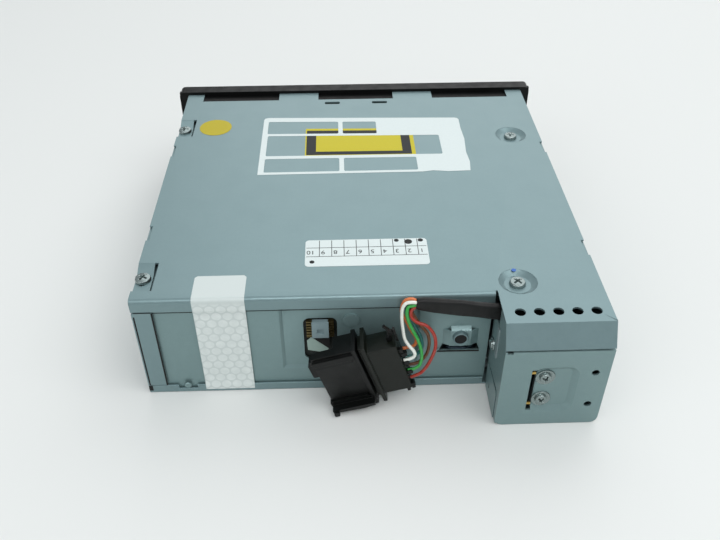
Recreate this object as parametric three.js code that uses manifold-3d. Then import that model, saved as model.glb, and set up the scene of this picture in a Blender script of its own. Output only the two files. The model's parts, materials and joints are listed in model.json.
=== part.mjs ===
// Slot-loading car CD changer for six discs, in millimetres.
// +Z is up, the bezel looks to -Y, and the origin is on the bottom face of the case at its middle.
import * as THREE from "three";
import { mergeVertices } from "three/addons/utils/BufferGeometryUtils.js";
import Module from "manifold-3d";

const wasm = await Module();
wasm.setup();

// Sheet, clearances and cuts
const sheet = 0.8;
const gap = 0.3;
const overrun = 4;
const bite = 0.2;

// Disc and the stack of trays, from the boards up to the roof
const discButtonCount = 6;
const stackSteps = discButtonCount / 2 - 1;
const discRadius = 60;
const discBore = 7.5;
const discThickness = 1.2;
const boardThickness = 1.6;
const mainBoardZ = 3;
const chipHeight = 2;
const deckClear = 1.4;
const deckZ = mainBoardZ + boardThickness + chipHeight + deckClear;
const deckThickness = 1.2;
const deckTop = deckZ + deckThickness;
const trayClear = 1.8;
const trayThickness = 1.2;
const trayPitch = 3.4;
const stackHeight = stackSteps * trayPitch + trayThickness;
const lowTrayZ = deckTop + trayClear;
const armClear = 0.7;
const armZ = lowTrayZ + stackHeight + armClear;
const armThickness = 1.2;
const spindleMotorHeight = 4.3;
const turntableHeight = 3;
const discSeat = 0.2;
const discLevel = armZ + armThickness + spindleMotorHeight + turntableHeight + 2 * gap + discSeat;
const slotZ = discLevel + discThickness / 2;
const clampRise = 4.2;
const clampZ = discLevel + clampRise;
const clampThickness = 1.2;
const pinZ = clampZ + clampThickness / 2;
const highClear = 3.4;
const highTrayZ = clampZ + clampThickness + highClear;
const roofRoom = 3.4;
const caseHeight = highTrayZ + stackHeight + roofRoom + sheet;
const coverZ = caseHeight - sheet;
const coverUnder = coverZ - gap;

// Plan of the case, from the disc outwards
const trayRim = 2.5;
const trayRadius = discRadius + trayRim;
const trayRing = 20.5;
const trayBore = trayRadius - trayRing;
const trayFrontCut = 2;
const trayFront = discRadius - trayFrontCut;
const trayArm = 9;
const trayEye = 7.5;
const camRoom = 11.5;
const camX = trayRadius + camRoom;
const camInset = 16;
const caseWidth = 2 * (camX + camInset);
const rollerRoom = 16.5;
const armRoom = 26.5;
const caseDepth = trayFront + rollerRoom + discRadius + armRoom;
const halfWidth = caseWidth / 2;
const wallX = halfWidth - sheet;
const rearY = caseDepth / 2;
const frontY = -rearY;
const discY = frontY + rollerRoom + trayFront;

// Top cover
const cornerTabWidth = 8.6;
const midTabWidth = 21;
const midTabCentre = 30.5;
const tabReach = 7.4;
const rearLipDrop = 5.6;
const foldRadius = 1.6;
const frontSlotWidth = 8;
const frontSlotDepth = 2.6;
const frontSlotInset = 3;
const frontSlotCentre = 12.5;
const notchRightRear = 38;
const notchRightRun = 56.3;
const notchRightFront = caseDepth - notchRightRun;
const notchLeftRear = 22;
const notchLeftRun = 58.8;
const notchLeftFront = caseDepth - notchLeftRun;
const notchDepth = 1.3;
const notchLength = 10;
const lugWidth = 6.5;
const lugLength = 17;
const lugFlat = 11;
const lugSlot = 1.5;
const lugDrop = 2;
const lugRear = 6;
const lugFrontRun = 37.5;
const lugFront = caseDepth - lugFrontRun;
const lugScrewInset = 2.9;
const screwHole = 1.6;
const dimpleRadius = 7.8;
const dimpleFloor = 5.2;
const dimpleDrop = 1.6;
const dimpleRearSide = 32;
const dimpleRearX = dimpleRearSide - halfWidth;
const dimpleRearInset = 6.6;
const dimpleFrontSide = 14.2;
const dimpleFrontX = dimpleFrontSide - halfWidth;
const dimpleFrontRun = 41.5;
const dimpleFrontInset = caseDepth - dimpleFrontRun;

// Rear box
const rearBoxWidth = 40.7;
const rearBoxDepth = 21.9;
const boxX = rearBoxWidth - halfWidth;
const boxY = rearY + rearBoxDepth;
const roofDepth = 16.8;
const roofLipDrop = 9.1;
const roofLipGap = 0.9;
const ventRadius = 2.1;
const ventCount = 5;
const ventPitch = 7.1;
const ventInset = 6.2;
const ventRow = 10.9;
const pocketLeft = 11;
const pocketRight = 30;
const pocketLow = 6.6;
const pocketHigh = 32.4;
const pocketDepth = 1.6;
const pocketDraft = 2.2;
const pocketWall = 0.7;
const pocketCorner = 5;
const pocketSlotWidth = 2;
const pocketSlotInset = 12.2;
const pocketSlotLow = 8.4;
const pocketSlotHigh = 30.4;
const sideHoleRadius = 1.5;
const sideHoleInset = 5.4;
const sideHoleLow = 11;
const sideHoleHigh = 28.4;
const boxCorner = 3;
const leadNotchRear = 8;
const leadNotchDrop = 9.2;
const leadNotchLow = coverZ - leadNotchDrop;

// Side plates
const flangeWidth = 7.5;
const flangeLow = 4.1;
const shelfWidth = 6.4;

// Rear panel
const panelStepLeft = 33;
const panelStepLow = 12.4;
const panelStepDepth = 0.8;
const panelStepRight = -19;
const panelDraft = 1.3;
const windowLeft = 12;
const windowRight = 25.2;
const windowLow = 15.5;
const windowHigh = 37.7;
const windowCorner = 2.6;
const bossX = 6.4;
const bossZ = 36.5;
const bossRadius = 3.3;
const bossRise = 0.6;
const bridgeInset = 12.5;
const bridgeX = boxX + bridgeInset;
const bridgeWidth = 13.6;
const bridgeLow = 19.3;
const bridgeHigh = 31;
const bridgeRise = 1.6;
const bridgeSlope = 2.8;
const bridgeFlare = 1.4;
const collarZ = 27;
const collarRadius = 2.65;
const collarReach = 1.4;
const collarBore = 1.5;
const bottomLip = 3.8;
const lipDip = 1.9;
const lipNotch = 1.5;
const lipDipInset = 16.2;
const lipDipX = halfWidth - lipDipInset;
const lipDipWidth = 7.6;

// Bezel
const bezelLap = 5;
const bezelWidth = caseWidth + 2 * bezelLap;
const bezelFloor = 0.4;
const bezelRise = 1.4;
const bezelHeight = caseHeight + bezelRise - bezelFloor;
const bezelTop = bezelFloor + bezelHeight;
const bezelDepth = 8;
const bezelRear = frontY - tabReach - gap;
const bezelFront = bezelRear - bezelDepth;
const bezelWall = 2;
const bezelCorner = 2.5;
const collarWall = 1.6;
const collarInset = 2;
const collarLength = 7;
const discSlotSide = 3;
const discSlotWidth = 2 * (discRadius + discSlotSide);
const discSlotHeight = 5;
const discSlotFlare = 1.6;
const slotWall = 1.4;
const frontBoardGap = 4.2;

// Buttons
const discButtonWidth = 15;
const discButtonHeight = 7;
const discButtonPitch = 19;
const discButtonZ = 13;
const sideButtonWidth = 10;
const sideButtonHeight = 13;
const sideButtonInset = 16;
const sideButtonX = bezelWidth / 2 - sideButtonInset;
const buttonTravel = 1;
const buttonProud = 0.8;
const buttonFlange = 1.1;
const buttonFlangeThickness = 1;
const stemSide = 3;
const switchSide = 4;
const switchHeight = 1;

// Deck and cam screws
const deckFrontRun = 16.5;
const deckFront = frontY + deckFrontRun;
const deckRearRun = 6.5;
const deckRear = rearY - deckRearRun;
const deckBore = 34;
const camFrontInset = 26.5;
const camFrontRun = trayRadius - camFrontInset;
const camFrontY = discY - camFrontRun;
const camRearInset = 14.5;
const camRearRun = trayRadius - camRearInset;
const camRearY = discY + camRearRun;
const camCore = 3.2;
const camThread = 4.6;
const camTopRoom = 1.2;
const camTop = coverZ - camTopRoom;
const camJournal = 2.5;
const camLeadSteps = 3;
const camMidTurns = 0.5;
const gearModule = 0.64;
const camTeeth = 10;
const camTurn = Math.PI;
const camPitchRadius = (gearModule * camTeeth) / 2;
const camStroke = camPitchRadius * camTurn;

// Shift plate and its drive
const shiftThickness = 1.5;
const shiftClear = 0.9;
const shiftZ = deckZ - shiftClear - shiftThickness;
const shiftInset = 9.4;
const shiftInner = camX - shiftInset;
const shiftCross = 5;
const shiftRearRun = 4;
const shiftRear = rearY - shiftRearRun;
const topRackRun = 18.5;
const topRackY = rearY - topRackRun;
const topRackInset = 6;
const topRackX = camX - topRackInset;
const topRackWidth = 3.4;
const camPinionTeeth = 16;
const camMotorRadius = 5.2;
const camMotorLength = 20;

// Loading
const rollerRun = 8;
const rollerY = frontY + rollerRun;
const rollerShaft = 1.5;
const rollerEndRadius = 4.2;
const rollerMidRadius = 3.5;
const rollerClear = 0.4;
const rollerZ = discLevel - rollerEndRadius - rollerClear;
const rollerSleeve = discRadius;
const rollerSleeveGap = 3;
const loadModule = 0.6;
const rollerTeeth = 14;
const idlerTeeth = 18;
const loadPinionTeeth = 10;
const idlerSlant = -50;
const loadPinionSlant = 15;
const loadGearInset = 4.8;
const loadGearX = halfWidth - loadGearInset;
const loadGearWidth = 3;
const loadMotorRadius = 6;
const loadMotorLength = 20;
const bracketThickness = 1.2;
const bracketWidth = 9;
const bracketDrop = 5.4;
const guideLift = 1;
const guideZ = discLevel + discThickness + guideLift;
const guideHeight = 2.8;
const guideDepth = 13;

// Playback arm
const pivotInset = 4;
const pivotX = pivotInset - camX;
const pivotRun = 16;
const pivotY = rearY - pivotRun;
const pivotRadius = 3.5;
const armHalf = 10;
const armTail = 9;
const armRail = 1;
const armRailHeight = 3.4;
const hubRadius = 7;
const hubHeight = 11;
const earThickness = 1.2;
const earLip = 2.5;
const earHeight = pinZ + earLip - armZ - armThickness;
const pinRadius = 1;
const clampHalf = 7;
const clamperRadius = 9.5;
const clamperNeck = 3;
const clamperHead = 4.6;
const clamperHeadHeight = 0.7;
const spindleMotorRadius = 9;
const turntableRadius = 10;
const coneHeight = 1.6;
const sledLength = 22;
const sledHeight = 4;
const sledFromSpindle = 27;
const sledTravel = 30;
const lensRadius = 3;
const lensHeight = 1.2;
const railY = 6.2;
const guideShaftRadius = 1;
const leadScrewRadius = 1.2;
const bearingLength = 2;
const sledMotorRadius = 3.2;
const sledMotorLength = 9;
const armReach = Math.hypot(pivotX, pivotY - discY);
const sledBack = sledFromSpindle + sledTravel + sledLength / 2;
const sledMotorBack = sledBack + bearingLength + 2 * gap + sledMotorLength;
const earRoom = 0.75;
const earX = armReach - sledMotorBack - 3 * pinRadius - earRoom;

// Boards
const mainBoardFrontRun = 4.5;
const mainBoardFront = frontY + mainBoardFrontRun;
const mainBoardRearRun = 7.5;
const mainBoardRear = rearY - mainBoardRearRun;
const mainBoardSide = 5.2;
const mainBoardHalf = wallX - mainBoardSide;
const boardBossShare = 2 / 3;
const boardBossX = boardBossShare * halfWidth;
const rearBoardWidth = 30;
const rearBoardLow = 12;
const rearBoardDrop = 6.2;
const rearBoardHigh = coverZ - rearBoardDrop;
const serviceWidth = 6.6;
const serviceLow = 28;
const serviceHigh = 36;
const serviceHole = 2.6;
const pinSide = 0.7;
const pinPitch = 1.4;
const pinCount = 7;

// Lead, wires and plug
const sleeveWidth = 7;
const sleeveThickness = 3.2;
const wireRadius = 0.75;
const wireSides = 6;
const wireSteps = 12;
const plugX = 2.15;
const plugY = 88.4;
const plugAngles = [-93, 0.7, -162.6];
const plugLength = 16.3;
const plugWidth = 31;
const plugThickness = 9.5;
const plugRib = 1.2;
const plugRibInset = 2.6;
const plugRoot = 7.5;
const plugSlab = 3.6;
const plateThickness = 1.6;
const plateWidth = 32.5;
const plateHeight = 11.4;
const plateGap = 2;
const socketLength = 11.3;
const socketWidth = 25;
const socketThickness = 9.5;

const steel = { color: 0x93aaaa, roughness: 0.42, metalness: 0.85 };
const zinc = { color: 0xb9c2c4, roughness: 0.3, metalness: 0.9 };
const darkPlastic = { color: 0x1c1f20, roughness: 0.5, metalness: 0 };
const blackPlastic = { color: 0x141716, roughness: 0.6, metalness: 0 };
const greyPlastic = { color: 0x5c6062, roughness: 0.55, metalness: 0 };
const whitePlastic = { color: 0xd9dcda, roughness: 0.5, metalness: 0 };
const boardGreen = { color: 0x1f5a3a, roughness: 0.5, metalness: 0 };
const rubber = { color: 0x26282a, roughness: 0.9, metalness: 0 };
const brass = { color: 0xb8933f, roughness: 0.35, metalness: 0.9 };

const changer = new THREE.Group();

// Solids from geometries and back
function solidOf(geometry) {
  const bare = geometry.clone();
  bare.deleteAttribute("normal");
  bare.deleteAttribute("uv");
  const merged = mergeVertices(bare, 1e-4);
  return new wasm.Manifold(
    new wasm.Mesh({
      numProp: 3,
      vertProperties: merged.getAttribute("position").array,
      triVerts: new Uint32Array(merged.index.array),
    }),
  );
}

function geometryOf(solid) {
  const mesh = solid.getMesh();
  const geometry = new THREE.BufferGeometry();
  geometry.setAttribute("position", new THREE.BufferAttribute(mesh.vertProperties, 3));
  geometry.setIndex(new THREE.BufferAttribute(mesh.triVerts, 1));
  const faceted = geometry.toNonIndexed();
  faceted.computeVertexNormals();
  return faceted;
}

function join(...solids) {
  return solids.reduce((whole, solid) => whole.add(solid));
}

function cut(solid, ...tools) {
  return tools.reduce((whole, tool) => whole.subtract(tool), solid);
}

// A block between two corners
function block(x0, x1, y0, y1, z0, z1) {
  const geometry = new THREE.BoxGeometry(x1 - x0, y1 - y0, z1 - z0);
  geometry.translate((x0 + x1) / 2, (y0 + y1) / 2, (z0 + z1) / 2);
  return solidOf(geometry);
}

const turns = {
  x: new THREE.Matrix4().makeBasis(
    new THREE.Vector3(0, 1, 0),
    new THREE.Vector3(0, 0, 1),
    new THREE.Vector3(1, 0, 0),
  ),
  y: new THREE.Matrix4().makeBasis(
    new THREE.Vector3(1, 0, 0),
    new THREE.Vector3(0, 0, 1),
    new THREE.Vector3(0, -1, 0),
  ),
  z: new THREE.Matrix4(),
};

// An outline of points, or a shape, made solid along one axis between two places
// The outline is in XY along z, in XZ along y and in YZ along x.
function prism(outline, axis, from, to, curveSegments = 4) {
  const shape = Array.isArray(outline)
    ? new THREE.Shape(outline.map(([a, b]) => new THREE.Vector2(a, b)))
    : outline;
  const geometry = new THREE.ExtrudeGeometry(shape, {
    depth: to - from,
    bevelEnabled: false,
    curveSegments,
  });
  geometry.applyMatrix4(turns[axis]);
  const start = { x: [from, 0, 0], y: [0, to, 0], z: [0, 0, from] }[axis];
  geometry.translate(...start);
  return solidOf(geometry);
}

// A pressed form along Y: its outline changes from one end to the other, point by point
function tapered(first, y0, last, y1, curveSegments) {
  const rings = [first, last].map((shape) => shape.getPoints(curveSegments));
  const count = Math.min(...rings.map((ring) => ring.length));
  const points = [];
  rings.forEach((ring, k) => {
    for (let i = 0; i < count; i += 1) points.push(ring[i].x, k ? y1 : y0, ring[i].y);
  });
  const index = [];
  for (let i = 0; i < count; i += 1) {
    const j = (i + 1) % count;
    index.push(i, count + j, j, i, count + i, count + j);
  }
  for (let i = 1; i < count - 1; i += 1) {
    index.push(0, i, i + 1, count, count + i + 1, count + i);
  }
  const geometry = new THREE.BufferGeometry();
  geometry.setAttribute("position", new THREE.Float32BufferAttribute(points, 3));
  geometry.setIndex(index);
  return solidOf(geometry);
}

// Points of a quarter turn, anticlockwise from the start angle
function cornerArc(x, y, radius, start) {
  return [0, 1, 2, 3].map((i) => {
    const angle = start + (i * Math.PI) / 6;
    return [x + radius * Math.cos(angle), y + radius * Math.sin(angle)];
  });
}

// A round rod along one axis, its centre given in the other two
function rod(axis, radius, a, b, from, to, sides = 16) {
  const shape = new THREE.Shape(
    Array.from({ length: sides }, (_, i) => {
      const angle = ((i + 0.5) * 2 * Math.PI) / sides;
      return new THREE.Vector2(a + radius * Math.cos(angle), b + radius * Math.sin(angle));
    }),
  );
  return prism(shape, axis, from, to);
}

// A profile of radius and height pairs turned round a vertical axis
function turned(profile, x, y, sides = 16) {
  const points = profile.map(([radius, z]) => new THREE.Vector2(radius, z));
  const geometry = new THREE.LatheGeometry(points, sides);
  geometry.rotateX(Math.PI / 2);
  geometry.translate(x, y, 0);
  return solidOf(geometry);
}

function roundedRect(x0, x1, y0, y1, radius) {
  const shape = new THREE.Shape();
  shape.absarc(x1 - radius, y0 + radius, radius, -Math.PI / 2, 0);
  shape.absarc(x1 - radius, y1 - radius, radius, 0, Math.PI / 2);
  shape.absarc(x0 + radius, y1 - radius, radius, Math.PI / 2, Math.PI);
  shape.absarc(x0 + radius, y0 + radius, radius, Math.PI, 1.5 * Math.PI);
  return shape;
}

// Tooth form shares of the module and of the tooth pitch
const tipShare = 0.85;
const rootShare = 1.15;
const tipWidthShare = 0.09;
const rootWidthShare = 0.31;

// The outline of a spur gear, with a tooth at the given angle
function gearShape(teeth, module, a, b, phase) {
  const pitchRadius = (teeth * module) / 2;
  const step = (2 * Math.PI) / teeth;
  const tip = pitchRadius + tipShare * module;
  const root = pitchRadius - rootShare * module;
  const points = [];
  for (let i = 0; i < teeth; i += 1) {
    const middle = phase + i * step;
    points.push([root, middle - rootWidthShare * step]);
    points.push([tip, middle - tipWidthShare * step]);
    points.push([tip, middle + tipWidthShare * step]);
    points.push([root, middle + rootWidthShare * step]);
  }
  return points.map(([radius, angle]) => [a + radius * Math.cos(angle), b + radius * Math.sin(angle)]);
}

// Rack teeth as points going up along y, pointing to +x from a pitch line at x
function rackTeeth(module, pitchX, low, count, side) {
  const step = Math.PI * module;
  const points = [];
  for (let i = 0; i < count; i += 1) {
    const middle = low + i * step;
    points.push([pitchX - side * rootShare * module, middle - rootWidthShare * step]);
    points.push([pitchX + side * tipShare * module, middle - tipWidthShare * step]);
    points.push([pitchX + side * tipShare * module, middle + tipWidthShare * step]);
    points.push([pitchX - side * rootShare * module, middle + rootWidthShare * step]);
  }
  return points;
}

function addPart(name, solid, look, parent = changer) {
  const mesh = new THREE.Mesh(geometryOf(solid), new THREE.MeshStandardMaterial(look));
  mesh.name = name;
  parent.add(mesh);
  return mesh;
}

// Casing

// A folded strip whose section is a line of points in YZ, given one sheet thick
function foldedStrip(line, x0, x1) {
  const outer = line.map(([y, z]) => new THREE.Vector2(y, z));
  const inner = outer.map((point, i) => {
    const before = outer[Math.max(i - 1, 0)];
    const after = outer[Math.min(i + 1, outer.length - 1)];
    const along = after.clone().sub(before).normalize();
    return new THREE.Vector2(point.x + along.y * sheet, point.y - along.x * sheet);
  });
  return prism(new THREE.Shape([...outer, ...inner.reverse()]), "x", x0, x1);
}

// The corners of a fold that starts level at z and runs down, in an even arc
function foldArc(y, z, radius, steps, endAngle) {
  return Array.from({ length: steps + 1 }, (_, i) => {
    const angle = (i / steps) * endAngle;
    return [y - radius + radius * Math.sin(angle), z - radius + radius * Math.cos(angle)];
  });
}

function makeTopCover() {
  const foldStart = rearY - foldRadius;
  const frontEdge = frontY + gap;
  let cover = block(-halfWidth, halfWidth, frontEdge, foldStart, coverZ, caseHeight);
  const roofEnd = rearY + roofDepth;
  cover = join(cover, block(-halfWidth, boxX, foldStart - bite, roofEnd - bite, coverZ, caseHeight));

  // Front tabs
  const tabs = [
    [-halfWidth, cornerTabWidth - halfWidth],
    [-midTabCentre - midTabWidth / 2, -midTabCentre + midTabWidth / 2],
    [midTabCentre - midTabWidth / 2, midTabCentre + midTabWidth / 2],
    [halfWidth - cornerTabWidth, halfWidth],
  ];
  for (const [x0, x1] of tabs) {
    cover = join(cover, block(x0, x1, frontY - tabReach, frontEdge + bite, coverZ, caseHeight));
  }
  for (const side of [-1, 1]) {
    const centre = side * frontSlotCentre;
    const low = frontY + frontSlotInset;
    const slot = roundedRect(
      centre - frontSlotWidth / 2,
      centre + frontSlotWidth / 2,
      low,
      low + frontSlotDepth,
      frontSlotDepth / 3,
    );
    cover = cut(cover, prism(slot, "z", coverZ - overrun, caseHeight + overrun, 2));
  }

  // Rear lip, and the slanted lip of the rear box
  const lip = foldArc(rearY, caseHeight, foldRadius, 3, Math.PI / 2);
  lip.unshift([foldStart - bite, caseHeight]);
  lip.push([rearY, caseHeight - rearLipDrop]);
  cover = join(cover, foldedStrip(lip, boxX + sheet, halfWidth));
  const slant = Math.atan2(roofLipDrop, rearBoxDepth - roofDepth);
  const roofLip = [
    [roofEnd - 2 * bite, caseHeight],
    [roofEnd, caseHeight],
    [roofEnd + (rearBoxDepth - roofDepth), caseHeight - roofLipDrop],
  ];
  cover = join(cover, slantedLip(roofLip, slant, -halfWidth, boxX));

  // Vent holes
  for (let i = 0; i < ventCount; i += 1) {
    const x = boxX - ventInset - i * ventPitch;
    cover = cut(cover, rod("z", ventRadius, x, rearY + ventRow, coverZ - overrun, caseHeight + overrun, 12));
  }

  // Edge notches
  const notchRows = [
    [1, notchRightRear],
    [1, notchRightFront],
    [-1, notchLeftRear],
    [-1, notchLeftFront],
  ];
  for (const [side, inset] of notchRows) {
    const edges = [side * (halfWidth - notchDepth), side * (halfWidth + overrun)].sort((a, b) => a - b);
    const y1 = rearY - inset;
    cover = cut(cover, block(...edges, y1 - notchLength, y1, coverZ - overrun, caseHeight + overrun));
  }

  // Lanced lugs
  for (const inset of [lugRear, lugFront]) {
    const y1 = rearY - inset;
    const y0 = y1 - lugLength;
    const slotX = halfWidth - lugWidth;
    const open = block(slotX - lugSlot, halfWidth + overrun, y0, y1, coverZ - overrun, caseHeight + overrun);
    cover = cut(cover, open);
    const low = caseHeight - lugDrop;
    const bend = [
      [y0 - bite, caseHeight],
      [y0 - bite, coverZ],
      [y1 - lugFlat, low - sheet],
      [y1, low - sheet],
      [y1, low],
      [y1 - lugFlat, low],
    ];
    let lug = prism(bend, "x", slotX, halfWidth);
    const screwY = y1 - (lugLength - lugFlat) - sheet;
    lug = cut(
      lug,
      rod("z", screwHole, halfWidth - lugScrewInset, screwY, low - overrun, caseHeight + overrun, 10),
    );
    cover = join(cover, lug);
  }

  // Round screw dimples
  const dimples = [
    [dimpleRearX, rearY - dimpleRearInset],
    [dimpleFrontX, rearY - dimpleFrontInset],
  ];
  for (const [x, y] of dimples) {
    cover = cut(cover, rod("z", dimpleRadius - bite, x, y, coverZ - overrun, caseHeight + overrun, 16));
    const low = caseHeight - dimpleDrop;
    const dish = [
      [screwHole, low],
      [screwHole, low - sheet],
      [dimpleFloor, low - sheet],
      [dimpleRadius, coverZ],
      [dimpleRadius, caseHeight],
      [dimpleFloor, low],
      [screwHole, low],
    ];
    cover = join(cover, turned(dish, x, y, 16));
  }
  addPart("top_cover", cover, steel);
}

function slantedLip(line, slant, x0, x1) {
  const [start, bend, end] = line;
  const inward = [-sheet * Math.sin(slant), -sheet * Math.cos(slant)];
  const corner = [bend[0] - sheet * Math.tan(slant / 2), bend[1] - sheet];
  return prism(
    [start, bend, end, [end[0] + inward[0], end[1] + inward[1]], corner, [start[0], start[1] - sheet]],
    "x",
    x0,
    x1,
  );
}

function makeBottomCover() {
  const boxEdge = boxY - sheet - gap;
  const footprint = [
    [-halfWidth, frontY],
    [halfWidth, frontY],
    [halfWidth, rearY],
    [boxX, rearY],
    [boxX, boxEdge - boxCorner],
    [boxX - boxCorner, boxEdge],
    [boxCorner - halfWidth, boxEdge],
    [-halfWidth, boxEdge - boxCorner],
  ];
  let cover = prism(footprint, "z", 0, sheet);
  const lipEnds = [boxX + lipNotch, halfWidth - lipNotch];
  let lip = block(...lipEnds, rearY - sheet, rearY, sheet - bite, bottomLip);
  const dip = block(
    lipDipX - lipDipWidth / 2,
    lipDipX + lipDipWidth / 2,
    rearY - overrun,
    rearY + overrun,
    lipDip,
    bottomLip + overrun,
  );
  lip = cut(lip, dip);
  cover = join(cover, lip);
  for (const x of [-boardBossX, boardBossX]) {
    for (const y of [mainBoardFront / 2, mainBoardRear / 2]) {
      cover = join(cover, rod("z", boxCorner, x, y, sheet - bite, mainBoardZ - gap, 12));
    }
  }
  addPart("bottom_cover", cover, steel);
}

// The line of the side plate's top edge, under the cover and its slanted lip
function makeSidePlates() {
  const low = sheet + gap;
  const slantRun = rearBoxDepth - roofDepth;
  const boxLow = coverUnder - roofLipDrop;
  const roofEnd = rearY + roofDepth;
  const outlines = {
    side_plate_right: [
      [frontY + gap, low],
      [rearY, low],
      [rearY, coverUnder - rearLipDrop],
      [rearY - sheet - gap, coverUnder - rearLipDrop],
      [rearY - sheet - gap, coverUnder],
      [frontY + gap, coverUnder],
    ],
    side_plate_left: [
      [frontY + gap, low],
      [boxY - sheet - gap, low],
      [boxY - sheet - gap, boxLow],
      [roofEnd - sheet - gap, coverUnder],
      [frontY + gap, coverUnder],
    ],
  };
  for (const [name, outline] of Object.entries(outlines)) {
    const side = name === "side_plate_right" ? 1 : -1;
    const span = (a, b) => [side * a, side * b].sort((p, q) => p - q);
    let plate = prism(outline, "x", ...span(wallX, halfWidth));
    const footEnd = rearY - 2 * sheet - 2 * gap;
    plate = join(
      plate,
      block(...span(wallX - shelfWidth, wallX + bite), frontY + gap, footEnd, low, low + sheet),
    );
    const shelfTop = caseHeight - lugDrop - sheet - gap;
    const shelf = block(
      ...span(wallX - shelfWidth, wallX + bite),
      frontY + gap,
      footEnd,
      shelfTop - sheet,
      shelfTop,
    );
    plate = join(plate, shelf);
    if (side > 0) {
      const flange = block(
        halfWidth - flangeWidth,
        wallX + bite,
        rearY - sheet,
        rearY,
        flangeLow,
        caseHeight - rearLipDrop - 2 * gap,
      );
      plate = join(plate, flange);
      for (const inset of [lugRear, lugFront]) {
        const y1 = rearY - inset;
        const room = block(
          wallX - bite,
          halfWidth + overrun,
          y1 - lugLength - gap,
          y1 + gap,
          shelfTop,
          caseHeight,
        );
        plate = cut(plate, room);
      }
    }
    // Stud that carries the idler gear and this end of the roller bracket
    const [idlerY, idlerZ] = idlerPlace();
    const studEnd = side > 0 ? loadGearX - bracketThickness : bracketEnd();
    const studFrom = studEnd - bracketThickness - gap;
    plate = join(plate, rod("x", rollerShaft, idlerY, idlerZ, ...span(studFrom, wallX + bite), 12));
    addPart(name, plate, steel);
  }
}

function idlerPlace() {
  const reach = (loadModule * (rollerTeeth + idlerTeeth)) / 2;
  const slant = THREE.MathUtils.degToRad(idlerSlant);
  return [rollerY + reach * Math.cos(slant), rollerZ + reach * Math.sin(slant)];
}

function loadPinionPlace() {
  const [idlerY, idlerZ] = idlerPlace();
  const reach = (loadModule * (loadPinionTeeth + idlerTeeth)) / 2;
  const slant = THREE.MathUtils.degToRad(loadPinionSlant);
  return [idlerY + reach * Math.cos(slant), idlerZ + reach * Math.sin(slant)];
}

function bracketEnd() {
  return loadGearX - gap;
}

function makeRearPanel() {
  const outer = rearY - sheet - gap;
  const left = boxX + sheet + gap;
  const right = wallX - gap;
  const low = sheet + gap;
  const inner = outer - panelStepDepth;
  const far = panelStepLeft + panelDraft;
  const near = panelStepRight - panelDraft;
  const foot = panelStepLow - panelDraft;
  let panel = join(
    block(far, right, outer - sheet, outer, low, coverUnder),
    block(left, near, outer - sheet, outer, low, coverUnder),
    block(near - bite, far + bite, outer - sheet, outer, low, foot),
    block(panelStepRight, panelStepLeft, inner - sheet, inner, panelStepLow, coverUnder),
  );

  // Slopes from the sunk field up to the rest
  const slopes = [
    [panelStepLeft, far, 1],
    [panelStepRight, near, -1],
  ].map(([x0, x1, side]) => {
    const line = [
      [x0 - side * bite, inner - sheet],
      [x1 + side * bite, outer - sheet],
      [x1 + side * bite, outer],
      [x1, outer],
      [x0, inner],
      [x0 - side * bite, inner],
    ];
    return prism(side > 0 ? line : line.reverse(), "z", foot - bite, coverUnder);
  });
  const lowSlope = [
    [inner - sheet, panelStepLow + bite],
    [inner, panelStepLow + bite],
    [inner, panelStepLow],
    [outer, foot],
    [outer, foot - bite],
    [outer - sheet, foot - bite],
  ].reverse();
  panel = join(panel, ...slopes, prism(lowSlope, "x", near, far));
  const opening = roundedRect(windowLeft, windowRight, windowLow, windowHigh, windowCorner);
  panel = cut(panel, prism(opening, "y", inner - overrun, outer + overrun, 3));
  panel = join(panel, rod("y", bossRadius, bossX, bossZ, inner - bite, inner + bossRise, 14));

  // Lanced bridge with its threaded collar, over a trapezoid opening
  const bx0 = bridgeX - bridgeWidth / 2;
  const bx1 = bridgeX + bridgeWidth / 2;
  const bridgeFoot = (bridgeLow + collarZ) / 2;
  const hole = [
    [bx0, bridgeHigh],
    [bx0, bridgeFoot],
    [bx0 - bridgeFlare, bridgeLow],
    [bx1 + bridgeFlare, bridgeLow],
    [bx1, bridgeFoot],
    [bx1, bridgeHigh],
  ];
  panel = cut(panel, prism(hole, "y", inner - overrun, outer + overrun));
  const crown = outer + bridgeRise;
  const bow = [
    [bx0 - bite, outer - sheet],
    [bx0 - bite, outer],
    [bx0 + bridgeSlope, crown],
    [bx1 - bridgeSlope, crown],
    [bx1 + bite, outer],
    [bx1 + bite, outer - sheet],
    [bx1 - bridgeSlope, crown - sheet],
    [bx0 + bridgeSlope, crown - sheet],
  ].reverse();
  panel = join(panel, prism(bow, "z", bridgeFoot, bridgeHigh));

  // Sloped shoulder over the middle of the bridge: only its two ends stay cut free above
  const shoulder = [
    [outer - sheet, bridgeHigh - sheet],
    [crown - sheet, bridgeHigh - sheet],
    [crown, bridgeHigh - bite],
    [outer, bridgeHigh + bridgeRise],
    [outer - sheet, bridgeHigh + bridgeRise],
  ];
  panel = join(panel, prism(shoulder, "x", bx0 + bridgeSlope, bx1 - bridgeSlope));
  panel = join(panel, rod("y", collarRadius, bridgeX, collarZ, crown - sheet, crown + collarReach, 14));
  panel = cut(panel, rod("y", collarBore, bridgeX, collarZ, inner - overrun, outer + overrun, 10));
  addPart("rear_panel", panel, steel);
}

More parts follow.
